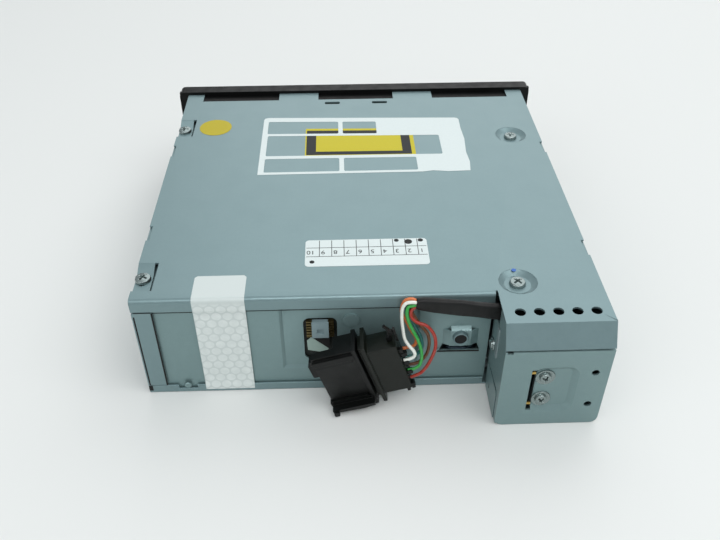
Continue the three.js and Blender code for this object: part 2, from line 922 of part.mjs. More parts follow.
function makeRearBox() {
  const low = sheet + gap;
  const top = caseHeight - roofLipDrop - roofLipGap;
  const back = boxY;
  const outline = [
    [boxX, top],
    [-halfWidth, top],
    ...cornerArc(boxCorner - halfWidth, boxCorner, boxCorner, Math.PI),
    ...cornerArc(boxX - boxCorner, boxCorner, boxCorner, 1.5 * Math.PI),
  ];
  let box = prism(outline, "y", back - sheet, back);

  // Pressed pocket in the back
  const px0 = boxX - pocketRight;
  const px1 = boxX - pocketLeft;
  const floor = back - pocketDepth;
  const pocket = (grow, y0, y1) => {
    const mouth = roundedRect(
      px0 - grow,
      px1 + grow,
      pocketLow - grow,
      pocketHigh + grow,
      pocketCorner + grow,
    );
    const inner = pocketDraft - grow;
    const bottom = roundedRect(
      px0 + inner,
      px1 - inner,
      pocketLow + inner,
      pocketHigh - inner,
      pocketCorner - inner,
    );
    return tapered(bottom, y0, mouth, y1, 4);
  };
  box = join(box, pocket(0, floor - sheet, back - bite));
  box = cut(box, pocket(-pocketWall, floor, back));
  const notchLow = top - roofLipGap;
  const notch = block(
    boxX - boxCorner,
    boxX + overrun,
    back - sheet - overrun,
    back + overrun,
    notchLow,
    caseHeight,
  );
  box = cut(box, notch);
  const slotX = boxX - pocketSlotInset;
  const slot = block(
    slotX - pocketSlotWidth / 2,
    slotX + pocketSlotWidth / 2,
    back - sheet - overrun,
    back + overrun,
    pocketSlotLow,
    pocketSlotHigh,
  );
  box = cut(box, slot);
  for (const z of [sideHoleLow, sideHoleHigh]) {
    const x = -halfWidth + sideHoleInset;
    box = cut(box, rod("y", sideHoleRadius, x, z, back - overrun, back + overrun, 12));
  }

  // Inner side wall, with the notch that lets the lead out
  const inner = rearY - sheet - gap;
  const roofEnd = rearY + roofDepth;
  const wallLine = [
    [inner, low],
    [back, low],
    [back, top],
    [back - sheet - 2 * gap, top],
    [roofEnd - sheet - gap, coverUnder],
    [rearY + leadNotchRear, coverUnder],
    [rearY + leadNotchRear, leadNotchLow],
    [rearY + sheet, leadNotchLow],
    [rearY + sheet, coverUnder - rearLipDrop],
    [inner, coverUnder - rearLipDrop],
  ];
  box = join(box, prism(wallLine, "x", boxX - sheet, boxX));
  addPart("rear_box", box, steel);
}

// Bezel, front board and buttons

function buttonPlaces() {
  const places = [];
  for (let i = 0; i < discButtonCount; i += 1) {
    places.push({
      name: `disc_button_${i + 1}`,
      x: (i - (discButtonCount - 1) / 2) * discButtonPitch,
      z: discButtonZ,
      width: discButtonWidth,
      height: discButtonHeight,
    });
  }
  for (const [name, side] of [["load_button", -1], ["eject_button", 1]]) {
    const x = side * sideButtonX;
    places.push({ name, x, z: slotZ, width: sideButtonWidth, height: sideButtonHeight });
  }
  return places;
}

function makeBezel() {
  const half = bezelWidth / 2;
  const outer = roundedRect(-half, half, bezelFloor, bezelTop, bezelCorner);
  const inside = roundedRect(
    bezelWall - half,
    half - bezelWall,
    bezelFloor + bezelWall,
    bezelTop - bezelWall,
    bezelWall,
  );
  const edge = bezelWall / 2;
  const rim = roundedRect(edge - half, half - edge, bezelFloor + edge, bezelTop - edge, bezelWall);
  let bezel = prism(outer, "y", bezelFront + edge, bezelRear, 3);
  bezel = join(bezel, prism(rim, "y", bezelFront, bezelFront + edge + bite, 3));
  bezel = cut(bezel, prism(inside, "y", bezelFront + bezelWall, bezelRear + overrun, 2));

  // Collar that reaches back between the tabs of the cover
  const collarX = halfWidth - collarInset;
  const collarLow = sheet + collarInset;
  const collarTop = coverUnder;
  const backFace = bezelRear - bezelWall;
  const web = block(bite - half, half - bite, backFace, bezelRear, bezelFloor + bite, bezelTop - bite);
  const frame = block(-collarX, collarX, backFace, bezelRear + collarLength, collarLow, collarTop);
  const frameRoom = block(
    collarWall - collarX,
    collarX - collarWall,
    backFace - overrun,
    bezelRear + collarLength + overrun,
    collarLow + collarWall,
    collarTop - collarWall,
  );
  bezel = join(bezel, cut(join(web, frame), frameRoom));

  // Tunnel of the disc slot, with a flared mouth
  const slotHalf = discSlotWidth / 2;
  const slotLow = slotZ - discSlotHeight / 2;
  const slotHigh = slotZ + discSlotHeight / 2;
  const tunnelEnd = bezelRear - bezelWall;
  const tunnel = block(
    -slotHalf - slotWall,
    slotHalf + slotWall,
    bezelFront + bite,
    tunnelEnd,
    slotLow - slotWall,
    slotHigh + slotWall,
  );
  bezel = join(bezel, tunnel);
  const flare = [
    [bezelFront - overrun, slotLow - discSlotFlare],
    [bezelFront, slotLow - discSlotFlare],
    [bezelFront + discSlotFlare, slotLow],
    [bezelRear + overrun, slotLow],
    [bezelRear + overrun, slotHigh],
    [bezelFront + discSlotFlare, slotHigh],
    [bezelFront, slotHigh + discSlotFlare],
    [bezelFront - overrun, slotHigh + discSlotFlare],
  ];
  bezel = cut(bezel, prism(flare, "x", -slotHalf, slotHalf));
  for (const place of buttonPlaces()) {
    const w = place.width / 2 + gap;
    const h = place.height / 2 + gap;
    const hole = block(
      place.x - w,
      place.x + w,
      bezelFront - overrun,
      bezelFront + bezelWall + overrun / 2,
      place.z - h,
      place.z + h,
    );
    bezel = cut(bezel, hole);
  }
  addPart("front_bezel", bezel, darkPlastic);
}

const frontBoardRear = bezelRear + frontBoardGap + boardThickness;
const frontBoardFace = bezelRear + frontBoardGap;

function makeFrontBoard() {
  const x = halfWidth - collarInset - collarWall - gap;
  const low = sheet + collarInset + collarWall + gap;
  const high = coverUnder - collarWall - gap;
  let board = block(-x, x, frontBoardFace, frontBoardRear, low, high);
  const slotHalf = discSlotWidth / 2 + slotWall;
  const room = block(
    -slotHalf,
    slotHalf,
    frontBoardFace - overrun,
    frontBoardRear + overrun,
    slotZ - discSlotHeight,
    slotZ + discSlotHeight,
  );
  board = cut(board, room);
  for (const place of buttonPlaces()) {
    const tact = block(
      place.x - switchSide / 2,
      place.x + switchSide / 2,
      frontBoardFace - switchHeight,
      frontBoardFace + bite,
      place.z - switchSide / 2,
      place.z + switchSide / 2,
    );
    board = join(board, tact);
  }
  addPart("front_board", board, boardGreen);
}

function makeButtons() {
  for (const place of buttonPlaces()) {
    const w = place.width / 2;
    const h = place.height / 2;
    const faceRear = bezelFront + bezelWall + gap;
    const { x, z } = place;
    const cap = block(x - w, x + w, bezelFront - buttonProud, faceRear + bite, z - h, z + h);
    const f = buttonFlange;
    const flangeEnd = faceRear + buttonFlangeThickness;
    const flange = block(x - w - f, x + w + f, faceRear, flangeEnd, z - h - f, z + h + f);
    const s = stemSide / 2;
    const stemEnd = frontBoardFace - switchHeight - buttonTravel - gap;
    const stem = block(x - s, x + s, flangeEnd - bite, stemEnd, z - s, z + s);
    addPart(place.name, join(cap, flange, stem), greyPlastic);
  }
}

// Mechanism deck with cam screws, trays and the shift plate

const camPlaces = [
  { name: "cam_screw_front_left", x: -camX, y: camFrontY },
  { name: "cam_screw_front_right", x: camX, y: camFrontY },
  { name: "cam_screw_rear_left", x: -camX, y: camRearY },
  { name: "cam_screw_rear_right", x: camX, y: camRearY },
];

const camPinionRadius = (gearModule * camPinionTeeth) / 2;
const topRackZ = shiftZ + shiftThickness + rootShare * gearModule;
const camPinionZ = topRackZ + camPinionRadius;
const camMotorX1 = shiftInner - gap;

function makeDeck() {
  const half = wallX - gap;
  const [, , , corner] = camPlaces;
  let deck = block(-half, half, deckFront, deckRear, deckZ, deckTop);
  deck = cut(deck, rod("z", deckBore, 0, discY, deckZ - overrun, deckTop + overrun, 24));
  for (const place of camPlaces) {
    deck = cut(deck, rod("z", camJournal + gap, place.x, place.y, deckZ - overrun, deckTop + overrun, 12));
  }
  const rackRoom = block(
    topRackX - topRackWidth / 2 - gap,
    topRackX + topRackWidth / 2 + gap,
    corner.y + camPitchRadius + sheet,
    deckRear + overrun,
    deckZ - overrun,
    deckTop + overrun,
  );
  const motorRoom = block(
    camMotorX1 - camMotorLength - sheet - gap,
    topRackX,
    topRackY - camMotorRadius - gap,
    topRackY + camMotorRadius + gap,
    deckZ - overrun,
    deckTop + overrun,
  );
  deck = cut(deck, rackRoom, motorRoom);
  const post = rod("z", pivotRadius, pivotX, pivotY, deckZ, armZ + hubHeight + earThickness, 12);
  const washer = rod("z", hubRadius, pivotX, pivotY, deckZ, armZ - gap, 12);
  deck = join(deck, post, washer);
  addPart("mechanism_deck", deck, zinc);
}

// A cam screw: a round core with one thread, fine past the trays and steep across the playing space
function threadAngle(z) {
  const fine = (2 * Math.PI) / trayPitch;
  const lowEnd = lowTrayZ + 3 * trayPitch;
  const steep = (2 * Math.PI * camMidTurns) / (highTrayZ - lowEnd);
  if (z < lowEnd) return (z - deckTop) * fine;
  if (z < highTrayZ) return (lowEnd - deckTop) * fine + (z - lowEnd) * steep;
  return (lowEnd - deckTop) * fine + (highTrayZ - lowEnd) * steep + (z - highTrayZ) * fine;
}

function makeCamScrews() {
  const sides = 6;
  const lowEnd = lowTrayZ + 3 * trayPitch;
  const levels = [];
  const start = deckTop + gap;
  const fineStep = trayPitch / camLeadSteps;
  for (let z = start; z < lowEnd; z += fineStep) levels.push(z);
  const middleSteps = 4;
  for (let i = 0; i < middleSteps; i += 1) {
    levels.push(lowEnd + ((highTrayZ - lowEnd) * (i + 1)) / (middleSteps + 1));
  }
  for (let z = highTrayZ; z < camTop; z += fineStep) levels.push(z);
  for (const place of camPlaces) {
    const hand = place.x > 0 ? 1 : -1;
    const positions = [];
    const index = [];
    for (const z of levels) {
      for (let i = 0; i < sides; i += 1) {
        const angle = (2 * Math.PI * i) / sides;
        const lobe = Math.max(0, Math.cos(angle - hand * threadAngle(z)));
        const radius = camCore + (camThread - camCore) * lobe * lobe;
        positions.push(radius * Math.cos(angle), radius * Math.sin(angle), z);
      }
    }
    const last = levels.length - 1;
    for (let k = 0; k < last; k += 1) {
      for (let i = 0; i < sides; i += 1) {
        const a = k * sides + i;
        const b = k * sides + ((i + 1) % sides);
        index.push(a, b, b + sides, a, b + sides, a + sides);
      }
    }
    for (let i = 1; i < sides - 1; i += 1) {
      index.push(0, i + 1, i);
      index.push(last * sides, last * sides + i, last * sides + i + 1);
    }
    const geometry = new THREE.BufferGeometry();
    geometry.setAttribute("position", new THREE.Float32BufferAttribute(positions, 3));
    geometry.setIndex(index);
    geometry.translate(place.x, place.y, 0);
    const thread = solidOf(geometry);
    const journal = rod("z", camJournal, place.x, place.y, shiftZ, start + bite, 8);
    const contact = place.x > 0 ? Math.PI : 0;
    const phase = contact + Math.PI / camTeeth;
    const gear = gearShape(camTeeth, gearModule, place.x, place.y, phase);
    const pinion = prism(gear, "z", shiftZ, shiftZ + shiftThickness);
    addPart(place.name, join(thread, journal, pinion), zinc);
  }
}

// The bar of the shift plate on one side, as an outline that goes round once
function shiftBar(side) {
  const pitchX = side * (camX - camPitchRadius);
  const step = Math.PI * gearModule;
  const count = Math.ceil(camStroke / step) + 2;
  const rootX = pitchX - side * rootShare * gearModule;
  const outline = [[side * shiftInner, camFrontY - 2 * step]];
  outline.push([rootX, camFrontY - 2 * step]);
  for (const y of [camFrontY, camRearY]) {
    outline.push(...rackTeeth(gearModule, pitchX, y - step, count, side));
  }
  outline.push([rootX, shiftRear]);
  outline.push([side * shiftInner, shiftRear]);
  return side > 0 ? outline : outline.reverse();
}

function makeShiftPlate() {
  const top = shiftZ + shiftThickness;
  let plate = join(
    prism(shiftBar(1), "z", shiftZ, top),
    prism(shiftBar(-1), "z", shiftZ, top),
  );
  plate = join(
    plate,
    block(-shiftInner - bite, shiftInner + bite, shiftRear - shiftCross, shiftRear, shiftZ, top),
  );
  // Teeth on top of the right bar, where the motor's pinion drives it
  const step = Math.PI * gearModule;
  const count = Math.ceil(camStroke / step) + 2;
  const profile = rackTeeth(gearModule, topRackZ, topRackY - step, count, 1).map(([z, y]) => [y, z]);
  const [firstY] = profile[0];
  const [lastY] = profile[profile.length - 1];
  profile.push([lastY, top - bite], [firstY, top - bite]);
  const rack = prism(profile.reverse(), "x", topRackX - topRackWidth / 2, topRackX + topRackWidth / 2);
  plate = join(plate, rack);
  addPart("shift_plate", plate, zinc);
}

function makeCamDrive() {
  const meshAngle = Math.PI / camPinionTeeth - Math.PI / 2;
  const gear = gearShape(camPinionTeeth, gearModule, topRackY, camPinionZ, meshAngle);
  const pinionX0 = camMotorX1 + gap;
  const pinionX1 = topRackX + topRackWidth / 2;
  addPart("cam_pinion", prism(gear, "x", pinionX0, pinionX1), brass);
  const motorX0 = camMotorX1 - camMotorLength;
  let motor = rod("x", camMotorRadius, topRackY, camPinionZ, motorX0, camMotorX1, 18);
  const end = camMotorRadius / 2;
  motor = join(motor, rod("x", end, topRackY, camPinionZ, motorX0 - sheet, camMotorX1 - bite, 12));
  addPart("cam_motor", motor, zinc);
}

function makeTrays() {
  const count = discButtonCount;
  const traySides = 6;
  const trayHole = (camThread + gap) / Math.cos(Math.PI / traySides);
  for (let i = 0; i < count; i += 1) {
    const isLow = i < count / 2;
    const z0 = isLow ? lowTrayZ + i * trayPitch : highTrayZ + (i - count / 2) * trayPitch;
    const z1 = z0 + trayThickness;
    let tray = rod("z", trayRadius, 0, discY, z0, z1, 18);
    for (const place of camPlaces) {
      const from = new THREE.Vector2(0, discY);
      const to = new THREE.Vector2(place.x, place.y);
      const along = to.clone().sub(from);
      const reach = along.length();
      along.normalize();
      const across = new THREE.Vector2(-along.y, along.x).multiplyScalar(trayArm / 2);
      const inner = from.clone().addScaledVector(along, (trayRadius + trayBore) / 2);
      const outer = from.clone().addScaledVector(along, reach);
      const bar = [
        [inner.x - across.x, inner.y - across.y],
        [outer.x - across.x, outer.y - across.y],
        [outer.x + across.x, outer.y + across.y],
        [inner.x + across.x, inner.y + across.y],
      ];
      tray = join(tray, prism(bar, "z", z0, z1), rod("z", trayEye, place.x, place.y, z0, z1, traySides));
    }
    tray = cut(tray, rod("z", trayBore, 0, discY, z0 - overrun, z1 + overrun, 12));
    const front = discY - trayFront;
    const trimmed = discY - trayRadius - overrun;
    tray = cut(tray, block(-trayRadius, trayRadius, trimmed, front, z0 - overrun, z1 + overrun));
    for (const place of camPlaces) {
      const hole = rod("z", trayHole, place.x, place.y, z0 - overrun, z1 + overrun, traySides);
      tray = cut(tray, hole);
    }
    addPart(`disc_tray_${i + 1}`, tray, blackPlastic);
  }
}

// Loading rollers, their drive and the guide above them

function makeLoading() {
  const [idlerY, idlerZ] = idlerPlace();
  const [pinionY, pinionZ] = loadPinionPlace();
  const gearEnd = loadGearX + loadGearWidth;
  const right = bracketEnd();
  const earSide = bracketThickness;
  const leftEnd = -right;

  // Bracket: a shallow channel with an ear at each end
  const floorZ = rollerZ - bracketDrop;
  const y0 = rollerY - bracketWidth / 2;
  const y1 = rollerY + bracketWidth / 2;
  let bracket = block(leftEnd, right, y0, y1, floorZ, floorZ + bracketThickness);
  const lipY = y0 + bracketThickness;
  bracket = join(bracket, block(leftEnd, right, y0, lipY, floorZ, floorZ + 2 * bracketThickness));
  const earWidth = rollerShaft + gap + bracketThickness;
  const ear = new THREE.Shape();
  const slant = Math.atan2(idlerZ - rollerZ, idlerY - rollerY);
  ear.absarc(idlerY, idlerZ, earWidth, slant - Math.PI / 2, slant + Math.PI / 2);
  ear.absarc(rollerY, rollerZ, earWidth, slant + Math.PI / 2, slant + 1.5 * Math.PI);
  // Plate that carries the motor, on the right ear
  const motorPlate = new THREE.Shape();
  const lean = Math.atan2(pinionZ - idlerZ, pinionY - idlerY);
  motorPlate.absarc(pinionY, pinionZ, loadMotorRadius, lean - Math.PI / 2, lean + Math.PI / 2);
  motorPlate.absarc(idlerY, idlerZ, earWidth, lean + Math.PI / 2, lean + 1.5 * Math.PI);
  bracket = join(bracket, prism(motorPlate, "x", right - earSide, right, 6));
  const pinionRoom = (loadModule * (loadPinionTeeth + 2)) / 2 + gap;
  bracket = cut(bracket, rod("x", pinionRoom, pinionY, pinionZ, right - earSide - sheet, right + sheet, 12));
  for (const [x0, x1] of [[leftEnd, leftEnd + earSide], [right - earSide, right]]) {
    bracket = join(bracket, prism(ear, "x", x0, x1, 5));
    for (const [y, z] of [[idlerY, idlerZ], [rollerY, rollerZ]]) {
      bracket = cut(bracket, rod("x", rollerShaft + gap, y, z, x0 - sheet, x1 + sheet, 12));
    }
  }
  addPart("roller_bracket", bracket, zinc);

  const shaftEnd = gearEnd;
  addPart("roller_shaft", rod("x", rollerShaft, rollerY, rollerZ, leftEnd - sheet, shaftEnd, 12), zinc);
  for (const side of [-1, 1]) {
    const bore = rollerShaft + gap;
    const x0 = rollerSleeveGap / 2;
    const x1 = x0 + rollerSleeve;
    const profile = [
      [bore, x0],
      [rollerMidRadius, x0],
      [rollerEndRadius, x1],
      [bore, x1],
      [bore, x0],
    ];
    const points = profile.map(([radius, z]) => new THREE.Vector2(radius, z));
    const geometry = new THREE.LatheGeometry(points, 14);
    geometry.rotateZ((-side * Math.PI) / 2);
    geometry.translate(0, rollerY, rollerZ);
    addPart(side < 0 ? "roller_sleeve_left" : "roller_sleeve_right", solidOf(geometry), rubber);
  }

  // Gears: the idler has a tooth towards the roller's gear, which has a space there
  const toRoller = Math.atan2(rollerZ - idlerZ, rollerY - idlerY);
  const toPinion = Math.atan2(pinionZ - idlerZ, pinionY - idlerY);
  const idlerStep = (2 * Math.PI) / idlerTeeth;
  let idler = prism(gearShape(idlerTeeth, loadModule, idlerY, idlerZ, toRoller), "x", loadGearX, gearEnd);
  idler = cut(idler, rod("x", rollerShaft + gap, idlerY, idlerZ, loadGearX - sheet, gearEnd + sheet, 12));
  addPart("idler_gear", idler, whitePlastic);
  const rollerPhase = toRoller + Math.PI + Math.PI / rollerTeeth;
  let rollerGear = prism(
    gearShape(rollerTeeth, loadModule, rollerY, rollerZ, rollerPhase),
    "x",
    loadGearX + bite,
    gearEnd,
  );
  rollerGear = cut(
    rollerGear,
    rod("x", rollerShaft + gap, rollerY, rollerZ, loadGearX - sheet, gearEnd + sheet, 12),
  );
  addPart("roller_gear", rollerGear, whitePlastic);

  // The pinion's tooth meets the idler where the idler's own phase leaves it
  const idlerPhase = (toPinion - toRoller) / idlerStep;
  const offset = (idlerPhase - Math.round(idlerPhase)) * idlerStep;
  const pinionStep = (2 * Math.PI) / loadPinionTeeth;
  const pinionPhase = toPinion + Math.PI + pinionStep / 2 + (offset * idlerTeeth) / loadPinionTeeth;
  const motorX1 = loadGearX - bracketThickness - 3 * gap;
  let pinion = prism(
    gearShape(loadPinionTeeth, loadModule, pinionY, pinionZ, pinionPhase),
    "x",
    motorX1 + gap,
    gearEnd,
  );
  addPart("loading_pinion", pinion, brass);
  const motorX0 = motorX1 - loadMotorLength;
  let motor = rod("x", loadMotorRadius, pinionY, pinionZ, motorX0, motorX1, 18);
  motor = join(motor, rod("x", loadMotorRadius / 2, pinionY, pinionZ, motorX0 - sheet, motorX0 + bite, 12));
  addPart("loading_motor", motor, zinc);
}

function makeDiscGuide() {
  const half = wallX - gap;
  const y0 = rollerY - guideDepth / 2;
  const y1 = rollerY + guideDepth / 2;
  const middle = (y0 + y1) / 2;
  const section = [
    [y0, guideZ + guideHeight / 2],
    [middle - sheet, guideZ],
    [middle + sheet, guideZ],
    [y1, guideZ + guideHeight / 2],
    [y1, guideZ + guideHeight],
    [y0, guideZ + guideHeight],
  ];
  addPart("upper_disc_guide", prism(section, "x", -half, half), blackPlastic);
}

// Playback arm, laid out along +X from its pivot and then turned to the middle of the disc

const armAngle = Math.atan2(discY - pivotY, -pivotX);

function makePlaybackArm() {
  const arm = new THREE.Group();
  arm.position.set(pivotX, pivotY, 0);
  arm.rotation.z = armAngle;
  changer.add(arm);

  const top = armZ + armThickness;
  const tip = armReach + spindleMotorRadius;
  const outline = new THREE.Shape();
  outline.absarc(0, 0, armTail, Math.PI / 2, 1.5 * Math.PI);
  outline.absarc(armReach, 0, armHalf, -Math.PI / 2, Math.PI / 2);
  let chassis = prism(outline, "z", armZ, top, 8);
  const sledX1 = armReach - sledFromSpindle + sledLength / 2;
  const sledX0 = armReach - sledFromSpindle - sledTravel - sledLength / 2;
  const bedHalf = armHalf / 2;
  const bed = block(sledX0, sledX1, -bedHalf, bedHalf, armZ - overrun, top + overrun);
  chassis = cut(chassis, bed);
  for (const side of [-1, 1]) {
    const y = [side * (armHalf - armRail), side * armHalf].sort((a, b) => a - b);
    chassis = join(chassis, block(hubRadius + armTail, armReach, ...y, top - bite, top + armRailHeight));
  }
  // Bearing blocks of the guide shaft and the lead screw
  const shaftZ = top + gap + sledHeight / 2;
  const blockXs = [sledX0 - bearingLength - gap, sledX1 + gap];
  for (const x0 of blockXs) {
    for (const side of [-1, 1]) {
      const ends = [railY - 2 * guideShaftRadius, armHalf - armRail + bite];
      const y = ends.map((end) => side * end).sort((a, b) => a - b);
      const bearing = block(x0, x0 + bearingLength, ...y, top - bite, shaftZ + 2 * guideShaftRadius);
      const radius = side < 0 ? guideShaftRadius : leadScrewRadius;
      const bore = rod("x", radius + gap, side * railY, shaftZ, x0 - sheet, x0 + bearingLength + sheet, 6);
      chassis = join(chassis, bearing);
      chassis = cut(chassis, bore);
    }
  }
  // Hub on the pivot post, and the ears of the clamp arm
  chassis = join(chassis, rod("z", hubRadius, 0, 0, armZ, armZ + hubHeight, 14));
  chassis = cut(chassis, rod("z", pivotRadius + gap, 0, 0, armZ - overrun, armZ + hubHeight + overrun, 12));
  for (const side of [-1, 1]) {
    const y = [side * (clampHalf + gap), side * (clampHalf + gap + earThickness)].sort((a, b) => a - b);
    const ear = block(earX - 3 * pinRadius, earX + 3 * pinRadius, ...y, top - bite, top + earHeight);
    chassis = join(chassis, ear);
    chassis = cut(chassis, pinAcross(pinRadius + gap, y[0] - sheet, y[1] + sheet));
  }
  addPart("playback_arm", chassis, zinc, arm);

  const shaftX0 = blockXs[0];
  const shaftX1 = blockXs[1] + bearingLength;
  addPart("guide_shaft", rod("x", guideShaftRadius, -railY, shaftZ, shaftX0, shaftX1, 8), zinc, arm);
  addPart("lead_screw", rod("x", leadScrewRadius, railY, shaftZ, shaftX0, shaftX1, 8), brass, arm);
  const motorX1 = shaftX0 - gap;
  const motorX0 = motorX1 - sledMotorLength;
  const sledMotor = rod("x", sledMotorRadius, railY - 2 * gap, shaftZ + 4 * gap, motorX0, motorX1, 14);
  addPart("sled_motor", sledMotor, zinc, arm);

  // Pickup sled with its lens
  const sledMiddle = armReach - sledFromSpindle;
  const sledHalf = armHalf - armRail - gap;
  const sledZ = top + gap;
  const sledTop = sledZ + sledHeight;
  const s0 = sledMiddle - sledLength / 2 + bite;
  const s1 = sledMiddle + sledLength / 2 - bite;
  let sled = block(s0, s1, -sledHalf, sledHalf, sledZ, sledTop);
  sled = cut(sled, rod("x", guideShaftRadius + gap, -railY, shaftZ, s0 - sheet, s1 + sheet, 8));
  sled = cut(sled, rod("x", leadScrewRadius + gap, railY, shaftZ, s0 - sheet, s1 + sheet, 8));
  const lens = [
    [0, sledTop - bite],
    [lensRadius + sheet, sledTop - bite],
    [lensRadius, sledTop + lensHeight / 2],
    [lensRadius / 2, sledTop + lensHeight],
    [0, sledTop + lensHeight],
  ];
  sled = join(sled, turned(lens, sledMiddle, 0, 14));
  addPart("pickup_sled", sled, greyPlastic, arm);

  // Spindle motor and turntable
  const motorZ = top + gap;
  const spindleMotor = rod("z", spindleMotorRadius, armReach, 0, motorZ, motorZ + spindleMotorHeight, 20);
  addPart("spindle_motor", spindleMotor, zinc, arm);
  const tableZ = motorZ + spindleMotorHeight + gap;
  const table = [
    [0, tableZ],
    [turntableRadius / 2, tableZ],
    [turntableRadius, discLevel - turntableHeight / 2],
    [turntableRadius, discLevel],
    [discBore - gap, discLevel],
    [discBore - gap, discLevel + discThickness / 2],
    [discBore / 2, discLevel + coneHeight],
    [0, discLevel + coneHeight],
  ];
  addPart("turntable", turned(table, armReach, 0, 16), blackPlastic, arm);

  // Clamp arm with its pin, and the clamper that hangs loosely in it
  const clampShape = new THREE.Shape();
  clampShape.moveTo(earX - 3 * pinRadius, -clampHalf);
  clampShape.absarc(armReach, 0, clampHalf, -Math.PI / 2, Math.PI / 2);
  clampShape.lineTo(earX - 3 * pinRadius, clampHalf);
  const clampTop = clampZ + clampThickness;
  let clamp = prism(clampShape, "z", clampZ, clampTop, 7);
  clamp = join(clamp, pinAcross(pinRadius, -clampHalf - earThickness - gap, clampHalf + earThickness + gap));
  const clampNeckRoom = clamperNeck + gap;
  clamp = cut(clamp, rod("z", clampNeckRoom, armReach, 0, clampZ - overrun, clampTop + overrun, 10));
  addPart("clamp_arm", clamp, zinc, arm);
  const clamperLow = discLevel + discThickness + gap;
  const plateTop = clampZ - gap;
  const headLow = clampTop + gap;
  const clamper = [
    [0, discLevel + coneHeight + gap],
    [discBore - sheet, discLevel + coneHeight + gap],
    [discBore, clamperLow],
    [clamperRadius, clamperLow],
    [clamperRadius, plateTop],
    [clamperNeck, plateTop],
    [clamperNeck, headLow],
    [clamperHead, headLow],
    [clamperHead, headLow + clamperHeadHeight],
    [0, headLow + clamperHeadHeight],
  ];
  addPart("clamper", turned(clamper, armReach, 0, 14), blackPlastic, arm);
}

// The clamp arm's pin or its hole, along the arm's own Y
function pinAcross(radius, from, to) {
  return rod("y", radius, earX, pinZ, from, to, 10);
}

// Boards and the service connector

function makeBoards() {
  const top = mainBoardZ + boardThickness;
  let main = block(-mainBoardHalf, mainBoardHalf, mainBoardFront, mainBoardRear, mainBoardZ, top);
  const chipShares = [
    [-0.3, -0.4, 0.2, 0.2],
    [0.25, -0.45, 0.16, 0.12],
    [-0.1, 0.3, 0.14, 0.18],
    [0.35, 0.25, 0.1, 0.16],
  ];
  for (const [xShare, yShare, wShare, dShare] of chipShares) {
    const x = xShare * mainBoardHalf;
    const y = yShare * mainBoardRear;
    const w = (wShare * mainBoardHalf) / 2;
    const d = (dShare * mainBoardRear) / 2;
    main = join(main, block(x - w, x + w, y - d, y + d, top - bite, top + chipHeight));
  }
  addPart("main_board", main, boardGreen);

  const face = rearY - 2 * sheet - panelStepDepth - 3 * gap;
  const middle = (windowLeft + windowRight) / 2;
  let board = block(
    middle - rearBoardWidth / 2,
    middle + rearBoardWidth / 2,
    face - boardThickness,
    face,
    rearBoardLow,
    rearBoardHigh,
  );
  addPart("rear_board", board, boardGreen);

  const body0 = face + gap;
  const body1 = rearY - sheet;
  const pinReach = body0 + boardThickness;
  let socket = block(
    middle - serviceWidth / 2,
    middle + serviceWidth / 2,
    body0,
    body1,
    serviceLow,
    serviceHigh,
  );
  const holeZ = (serviceLow + serviceHigh) / 2 - sheet;
  const hole = block(
    middle - serviceHole / 2,
    middle + serviceHole / 2,
    body1 - sheet,
    body1 + overrun,
    holeZ - serviceHole / 2,
    holeZ + serviceHole / 2,
  );
  socket = cut(socket, hole);
  for (const side of [-1, 1]) {
    for (let i = 0; i < pinCount; i += 1) {
      const z = serviceLow - sheet + i * pinPitch;
      const ends = [serviceWidth / 2 - bite, serviceWidth / 2 + 3 * pinSide];
      const x = ends.map((end) => side * end).sort((a, b) => a - b);
      const leg = block(middle + x[0], middle + x[1], body0, pinReach, z, z + pinSide);
      socket = join(socket, z >= serviceLow - sheet / 2 ? leg : block(
        middle + x[0],
        middle + x[1],
        body0,
        pinReach,
        serviceLow,
        serviceLow + pinSide / 2,
      ));
    }
  }
  addPart("service_connector", socket, whitePlastic);
}

// Lead out of the rear box, its wires and the two halves of the plug

// A section swept along a smooth line of points, closed at both ends
function swept(points, section, steps) {
  const curve = new THREE.CatmullRomCurve3(points.map((point) => new THREE.Vector3(...point)));
  const geometry = new THREE.ExtrudeGeometry(section, {
    extrudePath: curve,
    steps,
    bevelEnabled: false,
    curveSegments: 2,
  });
  return solidOf(geometry);
}

const sleeveRoute = [
  [-68, 85, 43.8],
  [-60, 85, 43.8],
  [-51.8, 85, 44.3],
  [-46, 85, 45.2],
  [-40, 84.9, 46.1],
  [-33, 84.7, 47],
  [-26, 84.4, 47.9],
  [-20.5, 84.1, 48.6],
  [-17.8, 84, 48.9],
];

